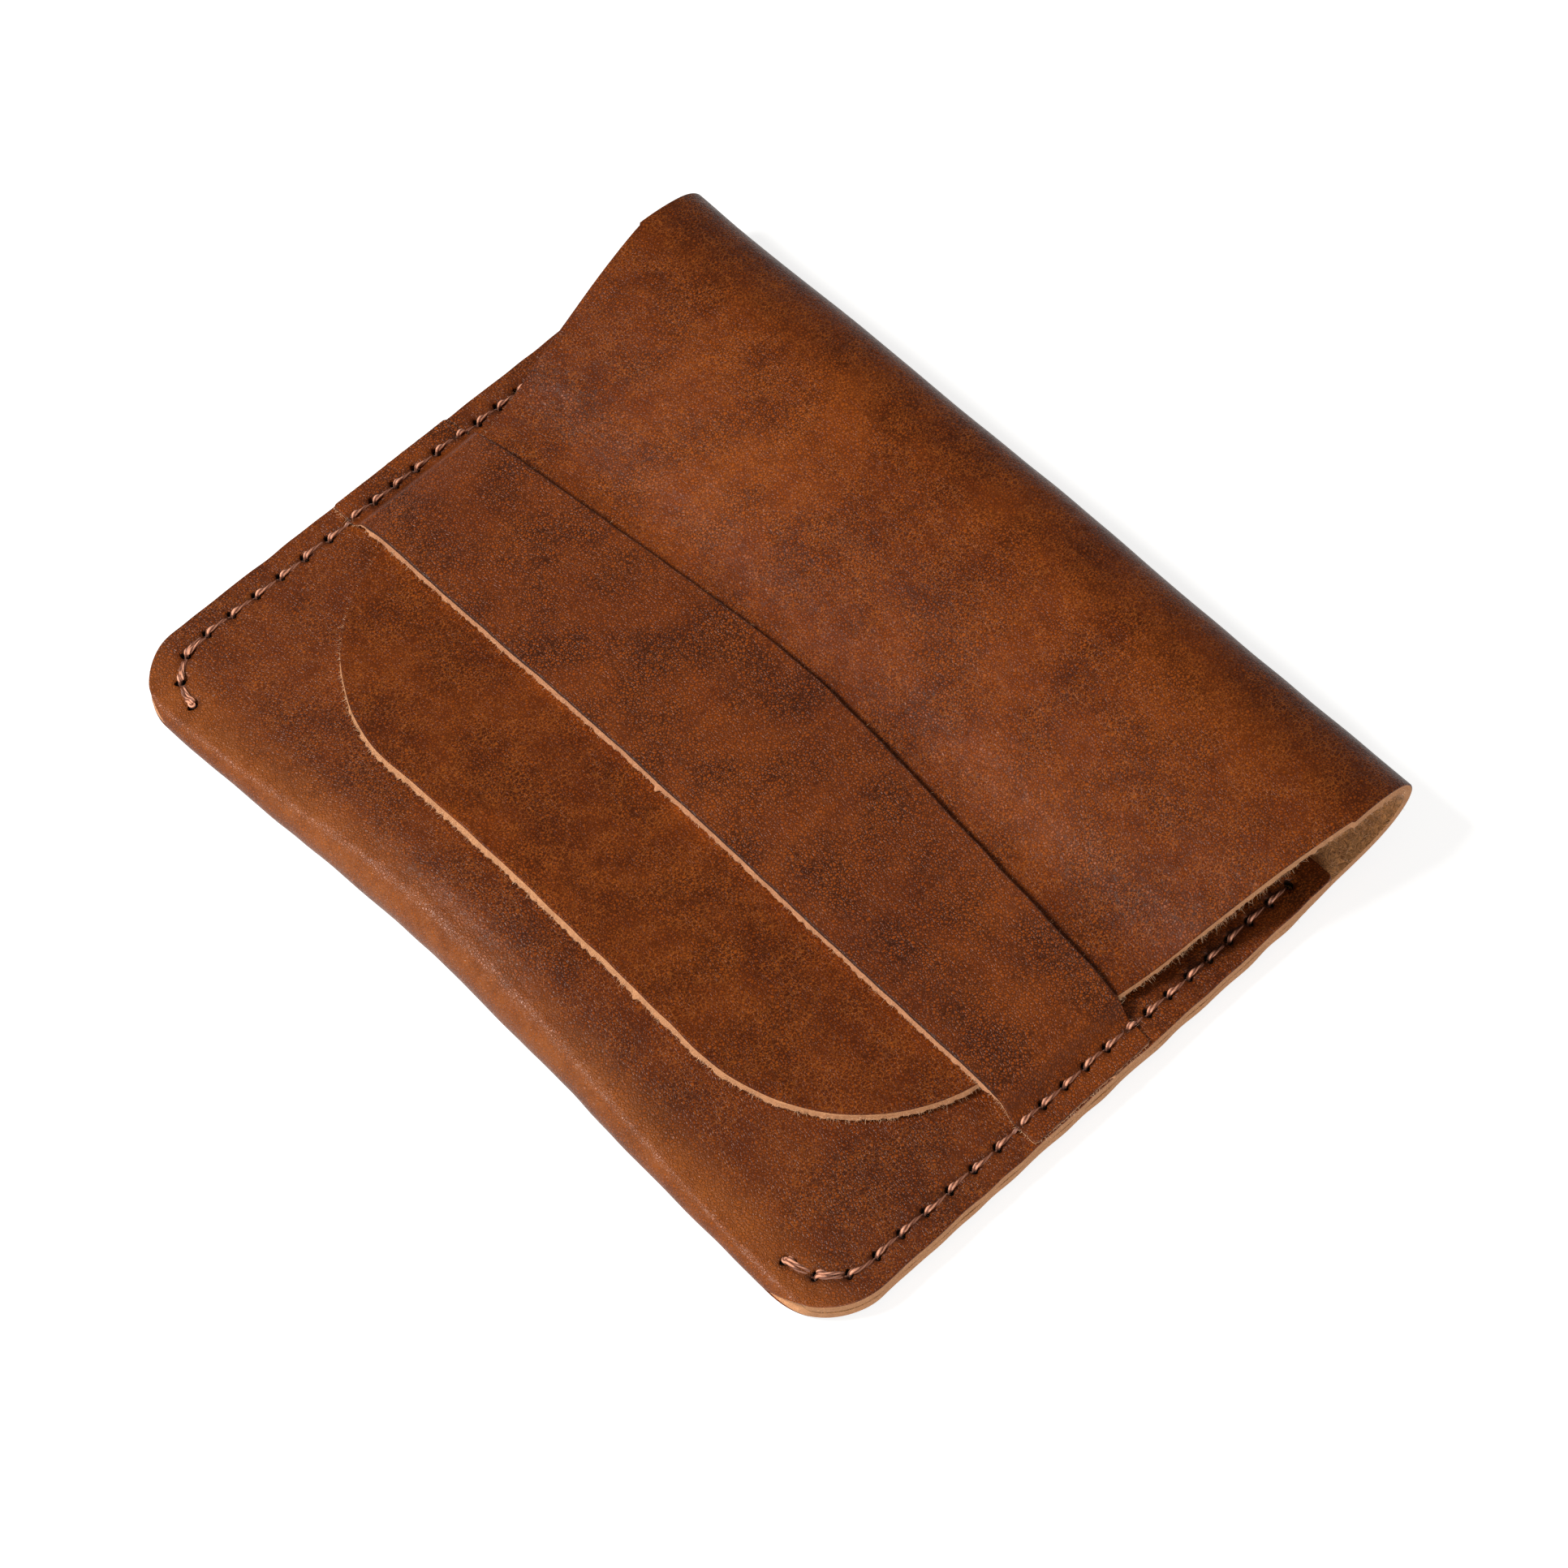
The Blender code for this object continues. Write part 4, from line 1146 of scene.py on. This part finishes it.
# ---------------------------------------------------------------- materials
class Nodes:
    """A node tree that is written as expressions."""

    def __init__(self, name):
        self.material = bpy.data.materials.new(name)
        self.material.use_nodes = True
        self.tree = self.material.node_tree
        self.shader = self.tree.nodes["Principled BSDF"]

    def set(self, node, inputs):
        for key, value in inputs.items():
            socket = node.inputs[key]
            if isinstance(value, bpy.types.NodeSocket):
                self.tree.links.new(value, socket)
            elif isinstance(value, tuple) and len(value) == 3 and socket.type == "RGBA":
                socket.default_value = (*value, 1.0)
            else:
                socket.default_value = value

    def add(self, kind, inputs, **settings):
        node = self.tree.nodes.new(kind)
        for key, value in settings.items():
            setattr(node, key, value)
        self.set(node, inputs)
        return node

    def place(self):
        """Where a point of the mesh is at rest, in millimetres."""
        return self.add("ShaderNodeAttribute", {}, attribute_name="place").outputs["Vector"]

    def value(self, name):
        return self.add("ShaderNodeAttribute", {}, attribute_name=name).outputs["Fac"]

    def math(self, operation, a, b=0.5, clamp=False):
        node = self.add("ShaderNodeMath", {0: a, 1: b}, operation=operation, use_clamp=clamp)
        return node.outputs[0]

    def vector(self, operation, a, b):
        return self.add("ShaderNodeVectorMath", {0: a, 1: b}, operation=operation).outputs[0]

    def noise(self, vector, scale, detail=3.0, roughness=0.55, distortion=0.0):
        inputs = {
            "Vector": vector,
            "Scale": scale,
            "Detail": detail,
            "Roughness": roughness,
            "Distortion": distortion,
        }
        return self.add("ShaderNodeTexNoise", inputs).outputs["Fac"]

    def cells(self, vector, scale):
        inputs = {"Vector": vector, "Scale": scale, "Randomness": 1.0}
        node = self.add("ShaderNodeTexVoronoi", inputs, feature="DISTANCE_TO_EDGE")
        return node.outputs["Distance"]

    def ramp(self, value, low, high, to_low=0.0, to_high=1.0):
        inputs = {
            "Value": value,
            "From Min": low,
            "From Max": high,
            "To Min": to_low,
            "To Max": to_high,
        }
        node = self.add("ShaderNodeMapRange", inputs, interpolation_type="SMOOTHSTEP")
        return node.outputs["Result"]

    def mix(self, factor, a, b, blend="MIX"):
        node = self.tree.nodes.new("ShaderNodeMix")
        node.data_type = "RGBA"
        node.blend_type = blend
        for index, value in ((0, factor), (6, a), (7, b)):
            socket = node.inputs[index]
            if isinstance(value, bpy.types.NodeSocket):
                self.tree.links.new(value, socket)
            else:
                socket.default_value = (*value, 1.0) if isinstance(value, tuple) else value
        return node.outputs[2]

    def bump(self, height, distance_mm, strength=1.0, normal=None):
        inputs = {"Height": height, "Distance": distance_mm * MM, "Strength": strength}
        if normal is not None:
            inputs["Normal"] = normal
        return self.add("ShaderNodeBump", inputs).outputs["Normal"]

    def finish(self, colour, roughness, specular, normal=None, sheen=None):
        """Sets the shader, with sheen as (weight, roughness), and gives the material."""
        inputs = {"Base Color": colour, "Roughness": roughness, "Specular IOR Level": specular}
        if normal is not None:
            inputs["Normal"] = normal
        if sheen is not None:
            inputs["Sheen Weight"], inputs["Sheen Roughness"] = sheen
        self.set(self.shader, inputs)
        return self.material


def times(colour, share):
    return tuple(share * c for c in colour)


def warped(nodes, place, scale, amount):
    """Place pushed about by noise, so that cells aren't regular."""
    push = nodes.add("ShaderNodeTexNoise", {"Vector": place, "Scale": scale, "Detail": 1.0})
    shifted = nodes.vector("SUBTRACT", push.outputs["Color"], (0.5, 0.5, 0.5))
    scaled = nodes.add("ShaderNodeVectorMath", {0: shifted, "Scale": amount}, operation="SCALE")
    return nodes.vector("ADD", place, scaled.outputs[0])


def stretched(nodes, place, turn, scale):
    inputs = {"Vector": place, "Rotation": (0.0, 0.0, turn), "Scale": scale}
    return nodes.add("ShaderNodeMapping", inputs).outputs["Vector"]


def dyed(nodes, place, tones):
    """The mottled and streaked cognac dye, darkened where marked, with painted shade over the flap fold.
    """
    deep, plain, bright = tones
    broad = nodes.ramp(nodes.noise(place, 0.042, 3.0, 0.55, 0.3), 0.3, 0.7)
    middle = nodes.ramp(nodes.noise(place, 0.17, 4.0, 0.6, 0.3), 0.25, 0.75)
    small = nodes.noise(place, 0.9, 4.0, 0.65)
    streak = nodes.noise(stretched(nodes, place, 0.17, (0.6, 0.05, 0.6)), 1.0, 5.0, 0.65)
    tone = nodes.math("MULTIPLY", broad, 0.24)
    for part, weight in ((middle, 0.16), (small, 0.26), (streak, 0.38)):
        tone = nodes.math("ADD", tone, nodes.math("MULTIPLY", part, weight))
    colour = nodes.mix(nodes.ramp(tone, 0.26, 0.57), deep, plain)
    colour = nodes.mix(nodes.ramp(tone, 0.45, 0.84), colour, bright)
    purple = nodes.ramp(nodes.noise(place, 0.1, 2.0, 0.5, 0.2), 0.5, 0.72, 0.0, 0.25)
    colour = nodes.mix(purple, colour, (0.122, 0.0225, 0.0055))
    # Painted shade over the flap fold, and a plain darker tone on the pocket front and the flap's ends.
    return nodes.mix(nodes.value("darkening_and_fold_shade"), colour, times(deep, 0.72))


def wear_and_painted_light(nodes, place, colour, veins, rim_dark):
    """The marks of making and use, with painted light and shade: pale where bent, partly as painted
    light on the bottom fold, or scuffed; painted shade along the seams; dark at the cut.
    """
    rub = nodes.ramp(nodes.noise(place, 0.4, 4.0, 0.65), 0.25, 0.7, 0.45, 1.0)
    # Paler round the bottom fold: partly stretched leather, partly painted light on the fold's lit side.
    colour = nodes.mix(nodes.math("MULTIPLY", nodes.value("stretch_and_light"), rub), colour, (0.32, 0.092, 0.020))
    scuff_at = stretched(nodes, place, 0.1, (2.2, 0.16, 2.2))
    scuff = nodes.ramp(nodes.noise(scuff_at, 1.0, 5.0, 0.7), 0.58, 0.78, 0.0, 0.4)
    colour = nodes.mix(nodes.math("MULTIPLY", scuff, veins), colour, (0.33, 0.098, 0.018))
    # Painted shade along the seam lines and round the awl holes.
    colour = nodes.mix(nodes.value("seam"), colour, (0.028, 0.0095, 0.005))
    across = nodes.add("ShaderNodeSeparateXYZ", {"Vector": place}).outputs["X"]
    bare = nodes.ramp(nodes.math("ABSOLUTE", across), SEAM_X - 3.5, SEAM_X - 2.0, 1.0, 0.0)
    near_cut = nodes.ramp(nodes.value("rim"), 0.02, 0.34, rim_dark, 0.0)
    edge = nodes.math("MULTIPLY", near_cut, bare)
    return nodes.mix(edge, colour, (0.028, 0.012, 0.009))


def grain_material(name, tones, pebble, veins, rim_dark, polish):
    """Oiled leather: mottled cognac, pebbled grain with painted shade in its creases and painted light
    on its tops, fine pale veins, and paler where it bends, partly as painted light.
    """
    nodes = Nodes(name)
    place = nodes.place()
    stretch_and_light = nodes.value("stretch_and_light")
    deep, _, bright = tones
    cells = nodes.cells(warped(nodes, place, 1.9, 0.45), 3.1)
    net = nodes.cells(warped(nodes, stretched(nodes, place, 0.5, (1.0, 0.62, 1.0)), 0.9, 0.35), 2.6)
    crease = nodes.ramp(cells, 0.03, 0.26)
    patchy = nodes.ramp(nodes.noise(place, 0.14, 2.0, 0.5), 0.35, 0.65, 0.6, 1.0)
    # Painted shade in the creases between the pebbles, and painted light on the pebble tops.
    sunk = nodes.math("MULTIPLY", nodes.math("SUBTRACT", 1.0, crease), pebble)
    colour = nodes.mix(nodes.math("MULTIPLY", sunk, patchy), dyed(nodes, place, tones), times(deep, 0.2))
    colour = nodes.mix(nodes.ramp(cells, 0.2, 0.42, 0.0, 0.5 * pebble), colour, times(bright, 1.25))
    vein = nodes.ramp(net, 0.0, 0.11, veins, 0.0)
    vein = nodes.math("MULTIPLY", vein, nodes.ramp(nodes.noise(place, 0.35, 3.0), 0.35, 0.62))
    colour = nodes.mix(vein, colour, (0.36, 0.10, 0.016))
    fleck = nodes.noise(place, 5.0, 3.0, 0.7)
    colour = nodes.mix(nodes.ramp(fleck, 0.5, 0.75, 0.0, 0.25), colour, (0.29, 0.073, 0.010))
    colour = wear_and_painted_light(nodes, place, colour, veins, rim_dark)

    height = nodes.math("MULTIPLY", crease, 0.7)
    height = nodes.math("ADD", height, nodes.math("MULTIPLY", fleck, 0.35))
    height = nodes.math("SUBTRACT", height, nodes.math("MULTIPLY", vein, 0.3))
    broad_bump = nodes.bump(nodes.noise(place, 0.5, 3.0, 0.5), 0.16)
    firm = nodes.ramp(stretch_and_light, 0.0, 0.5, 0.7 * pebble, 1.2)
    normal = nodes.bump(height, 0.045 + 0.035 * pebble, firm, broad_bump)
    gloss = nodes.math("SUBTRACT", 0.40, nodes.math("MULTIPLY", crease, 0.08))
    gloss = nodes.math("SUBTRACT", gloss, nodes.math("MULTIPLY", stretch_and_light, 0.08))
    return nodes.finish(colour, gloss, polish, normal)


def cut_material(name, tan, dyed_to):
    """The raw cut edge: pale felted fibre under a thin dyed grain layer."""
    nodes = Nodes(name)
    place = nodes.place()
    depth = nodes.value("depth")
    coarse = nodes.noise(place, 3.0, 4.0, 0.7)
    fibre = nodes.noise(stretched(nodes, place, 0.0, (1.0, 1.0, 3.2)), 6.0, 4.0, 0.75)
    pale = tuple(min(1.3 * c, 0.95) for c in tan)
    colour = nodes.mix(nodes.ramp(fibre, 0.3, 0.7), times(tan, 0.55), tan)
    colour = nodes.mix(nodes.ramp(coarse, 0.5, 0.75, 0.0, 0.7), colour, pale)
    under_dye = nodes.math("ADD", depth, nodes.math("MULTIPLY", coarse, 0.12))
    undyed = nodes.ramp(under_dye, dyed_to, dyed_to + 0.14)
    colour = nodes.mix(undyed, (0.05, 0.017, 0.010), colour)
    height = nodes.math("MULTIPLY", fibre, 0.7)
    height = nodes.math("ADD", height, nodes.math("MULTIPLY", coarse, 0.5))
    return nodes.finish(colour, 0.9, 0.1, nodes.bump(height, 0.13))


def flesh_material(name):
    """The fuzzy suede side."""
    nodes = Nodes(name)
    place = nodes.place()
    mat = nodes.noise(warped(nodes, place, 0.7, 1.6), 3.2, 5.0, 0.75, 1.2)
    blotch = nodes.noise(place, 0.5, 3.0)
    colour = nodes.mix(nodes.ramp(mat, 0.35, 0.65), (0.24, 0.092, 0.028), (0.88, 0.42, 0.155))
    colour = nodes.mix(nodes.ramp(blotch, 0.45, 0.75, 0.0, 0.4), colour, (0.42, 0.185, 0.07))
    return nodes.finish(colour, 0.95, 0.1, nodes.bump(mat, 0.2), sheen=(0.35, 0.5))


def fibre_material(name, pale, dark):
    """Loose hairs of the leather."""
    nodes = Nodes(name)
    place = nodes.place()
    tone = nodes.ramp(nodes.noise(place, 2.2, 2.0, 0.6), 0.3, 0.7)
    return nodes.finish(nodes.mix(tone, dark, pale), 0.75, 0.25, sheen=(0.2, 0.4))


def hole_material(name):
    """The walls of the awl holes, near black: painted shade inside the holes."""
    nodes = Nodes(name)
    place = nodes.place()
    tone = nodes.noise(place, 4.0, 3.0, 0.7)
    # Near-black colours paint the shade inside the awl holes.
    colour = nodes.mix(nodes.ramp(tone, 0.35, 0.7), (0.012, 0.005, 0.003), (0.05, 0.02, 0.011))
    return nodes.finish(colour, 0.9, 0.1, nodes.bump(tone, 0.1))


def thread_material(name):
    """Twisted waxed thread, with painted light on the plies, painted shade in the grooves between them
    and painted shade where it sinks into the leather.
    """
    nodes = Nodes(name)
    place = nodes.place()
    ply = nodes.value("ply")
    proud = nodes.value("proud")
    fuzz = nodes.noise(place, 7.0, 4.0, 0.7)
    # Painted shade in the grooves of the twist and painted light on the plies.
    colour = nodes.mix(nodes.ramp(ply, 0.86, 1.08), (0.16, 0.05, 0.028), (0.82, 0.37, 0.225))
    colour = nodes.mix(nodes.ramp(fuzz, 0.45, 0.75, 0.0, 0.5), colour, (0.30, 0.115, 0.065))
    # Painted shade where the thread sinks into the leather.
    colour = nodes.mix(nodes.ramp(proud, 0.3, 0.85, 0.8, 0.0), colour, (0.13, 0.038, 0.018))
    return nodes.finish(colour, 0.42, 0.5, nodes.bump(fuzz, 0.05), sheen=(0.15, 0.4))


# ---------------------------------------------------------------- stage, camera and light
def floor_material():
    """A pale floor that glows enough to fill the background evenly."""
    nodes = Nodes("floor")
    nodes.set(nodes.shader, {"Emission Color": (1.0, 1.0, 1.0), "Emission Strength": 0.79})
    return nodes.finish((0.42, 0.42, 0.42), 0.9, 0.1)


def build_stage():
    size = 6.0
    mesh = bpy.data.meshes.new("floor")
    corners = [(-size, -size, 0.0), (size, -size, 0.0), (size, size, 0.0), (-size, size, 0.0)]
    mesh.from_pydata(corners, [], [(0, 1, 2, 3)])
    mesh.materials.append(floor_material())
    floor = bpy.data.objects.new("floor", mesh)
    floor.location = (0.0, 0.0, cad_low[2] - 0.00015)
    floor.visible_diffuse = False
    bpy.context.scene.collection.objects.link(floor)


def look(obj, place, target):
    obj.location = place
    obj.rotation_mode = "QUATERNION"
    obj.rotation_quaternion = (Vector(target) - Vector(place)).to_track_quat("-Z", "Y")


def area_light(name, place, size, power, colour):
    light = bpy.data.lights.new(name, "AREA")
    light.shape = "DISK"
    light.size = size
    light.energy = power
    light.color = colour
    obj = bpy.data.objects.new(name, light)
    look(obj, place, (0.0, 0.0, 0.0))
    bpy.context.scene.collection.objects.link(obj)


def build_light():
    world = bpy.data.worlds.new("studio")
    bpy.context.scene.world = world
    world.use_nodes = True
    sky = world.node_tree.nodes["Background"].inputs
    sky["Color"].default_value = (1.0, 0.95, 0.88, 1.0)
    sky["Strength"].default_value = 0.25
    area_light("key", (-0.234, -0.312, 0.482), 0.16, 4.2, (1.0, 0.98, 0.93))
    area_light("fill", (0.6, -0.35, 0.2), 0.4, 2.8, (1.0, 0.98, 0.95))
    scene = bpy.context.scene
    scene.view_settings.view_transform = "Standard"
    scene.view_settings.look = "None"


def build_camera():
    right = Vector((0.6915, 0.7220, -0.0231))
    forward = Vector((-0.3766, 0.3331, -0.8644)).normalized()
    right = (right - right.dot(forward) * forward).normalized()
    up = right.cross(forward)
    camera = bpy.data.objects.new("camera", bpy.data.cameras.new("camera"))
    turn = Matrix((right, up, -forward)).transposed()
    camera.matrix_world = Matrix.Translation((0.18118, -0.15671, 0.40609)) @ turn.to_4x4()
    camera.data.sensor_width = 36.0
    camera.data.lens = 104.82
    camera.data.clip_start = 0.01
    bpy.context.scene.collection.objects.link(camera)
    bpy.context.scene.camera = camera


# ---------------------------------------------------------------- putting it together
def stretched_and_lit(points):
    """Where the oiled leather is stretched and turns paler round the bottom fold, which also paints
    light on the side of the fold that faces the key light.
    """
    y = points[:, 1]
    z = points[:, 2]
    return 0.8 * smoothstep(-y, -7.5, -1.2) * smoothstep(z, 1.0, 4.5)


def no_pull(points):
    return np.zeros(len(points))


def in_row(place):
    return (0.0, (place[0] - Y_ORIGIN) * MM, place[1] * MM)


def front_v(x, y):
    return MOUTH_Y - layer_edge_y(x, y)


def back_v(x, y):
    return V_BACK + layer_edge_y(x, y) - FOLD_RADIUS_MARGIN


def strap_v(x, y):
    return -y


def leather_materials():
    """Materials of the pocket, the flap and the strap, each in the order of the slots."""
    hide_tones = ((0.118, 0.0205, 0.0022), (0.185, 0.0350, 0.0032), (0.265, 0.0570, 0.0050))
    strap_tones = ((0.125, 0.0220, 0.0026), (0.185, 0.0360, 0.0036), (0.245, 0.0520, 0.0048))
    hide_cut = cut_material("hide_cut", (0.84, 0.41, 0.205), 0.03)
    strap_cut = cut_material("strap_cut", (0.82, 0.385, 0.20), 0.22)
    suede = flesh_material("suede")
    dark = hole_material("awl_hole")
    made = []
    for name, tones, pebble, veins, rim_dark, polish, cut in (
        ("pocket_grain", hide_tones, 0.85, 0.36, 0.15, 0.22, hide_cut),
        ("flap_grain", hide_tones, 0.8, 0.40, 0.15, 0.13, hide_cut),
        ("strap_grain", strap_tones, 0.95, 0.15, 0.85, 0.2, strap_cut),
    ):
        made.append([grain_material(name, tones, pebble, veins, rim_dark, polish), cut, suede, dark])
    return made


def strap_grid():
    lower, upper = -STRAP_PEAK_Y, -STRAP_LOWER_Y
    middle = grid_points(lower, upper, GRID, GRID, -MARGIN_GRID_X, MARGIN_GRID_X)
    ends = grid_points(lower, upper, 0.3, MARGIN_GRID, MARGIN_GRID_X + 0.3, HALF_WIDTH)
    return np.concatenate([middle, ends])


def build_leather(rims):
    """The three pieces of the hide and the strap."""
    pocket_leather, flap_leather, strap_leather = leather_materials()
    holes = seam_holes(front_v, 0.0, 90.0) + seam_holes(back_v, 0.0, 90.0)
    strap_holes = seam_holes(strap_v, STRAP_LOWER_Y + 1.0, STRAP_UPPER_Y - 1.0)
    pocket = build_sheet(
        "hide_pocket", rims["pocket"], holes, hide_grid(0.0, JOIN_LOWER),
        HIDE_SIDES, pocket_leather, stretched_and_lit, 0.0,
    )
    turn = build_sheet(
        "hide_turn", rims["turn"], [], hide_grid(JOIN_LOWER, JOIN_UPPER),
        HIDE_SIDES, flap_leather, no_pull, 0.0,
    )
    flap = build_sheet(
        "hide_flap", rims["flap"], [], hide_grid(JOIN_UPPER, V_END),
        HIDE_SIDES, flap_leather, no_pull, FLAP_BEVEL,
    )
    strap = build_sheet(
        "strap_band", rims["strap"], strap_holes, strap_grid(),
        STRAP_SIDES, strap_leather, no_pull, STRAP_BEVEL,
    )
    return pocket, turn, flap, strap


def build_naps(rims):
    """Raw fibres on the cut edges, and matted ones on the flesh side by the flap fold."""
    hair = fibre_material("hide_fibre", (0.90, 0.60, 0.38), (0.62, 0.32, 0.16))
    random = np.random.default_rng(SEED)
    naps = {}
    for name, sides, per_mm, length, matted in (
        ("pocket", HIDE_SIDES, 3.0, 0.26, (V_LOOP - 15.0, JOIN_LOWER - 0.5, 2600, 0.9)),
        ("turn", HIDE_SIDES, 7.0, 0.45, (JOIN_LOWER + 0.3, JOIN_UPPER - 0.3, 500, 0.8)),
        ("flap", HIDE_SIDES, 13.0, 0.75, (JOIN_UPPER + 0.5, V_FLAP + 18.0, 2600, 0.9)),
        ("strap", STRAP_SIDES, 9.0, 0.6, None),
    ):
        hairs = [edge_fibres(rims[name], sides, per_mm, length, random)]
        if matted is not None:
            hairs.append(flesh_fibres(*matted, random))
        roots, heading, bend, size = (np.concatenate(parts) for parts in zip(*hairs))
        radius = random.uniform(0.013, 0.026, len(roots))
        naps[name] = build_fibres("nap_" + name, roots, heading, bend, size, radius, hair)
    return naps


def main():
    build_camera()
    build_light()
    build_stage()
    rims = {
        "pocket": pocket_outline(),
        "turn": turn_outline(),
        "flap": flap_outline(),
        "strap": strap_outline(),
    }
    pocket, turn, flap, strap = build_leather(rims)
    thread = thread_material("waxed_thread")
    left = build_thread("thread_left", -1, 3, thread)
    right = build_thread("thread_right", 1, 2, thread)
    naps = build_naps(rims)

    lower_bend = ("holder", "fold_lower", in_row(BEND_POINTS[0]), in_row(BEND_POINTS[1]))
    middle_bend = ("fold_lower", "fold_upper", in_row(BEND_POINTS[1]), in_row(BEND_POINTS[2]))
    upper_bend = ("fold_upper", "flap", in_row(BEND_POINTS[2]), in_row(BEND_POINTS[3]))
    for sheet, nap, bend in (
        (pocket, naps["pocket"], lower_bend),
        (turn, naps["turn"], middle_bend),
        (flap, naps["flap"], upper_bend),
    ):
        for piece in (sheet, nap):
            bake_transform(piece)
    for piece in (strap, naps["strap"], left, right):
        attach(piece, "holder")
    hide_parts("back_panel", "pocket_fold", "front_panel")
    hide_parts("flap_fold_lower", "flap_fold_upper")
    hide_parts("flap_panel", "flap_tongue")
    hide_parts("strap")
    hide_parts("seam_thread_left")
    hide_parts("seam_thread_right")


main()
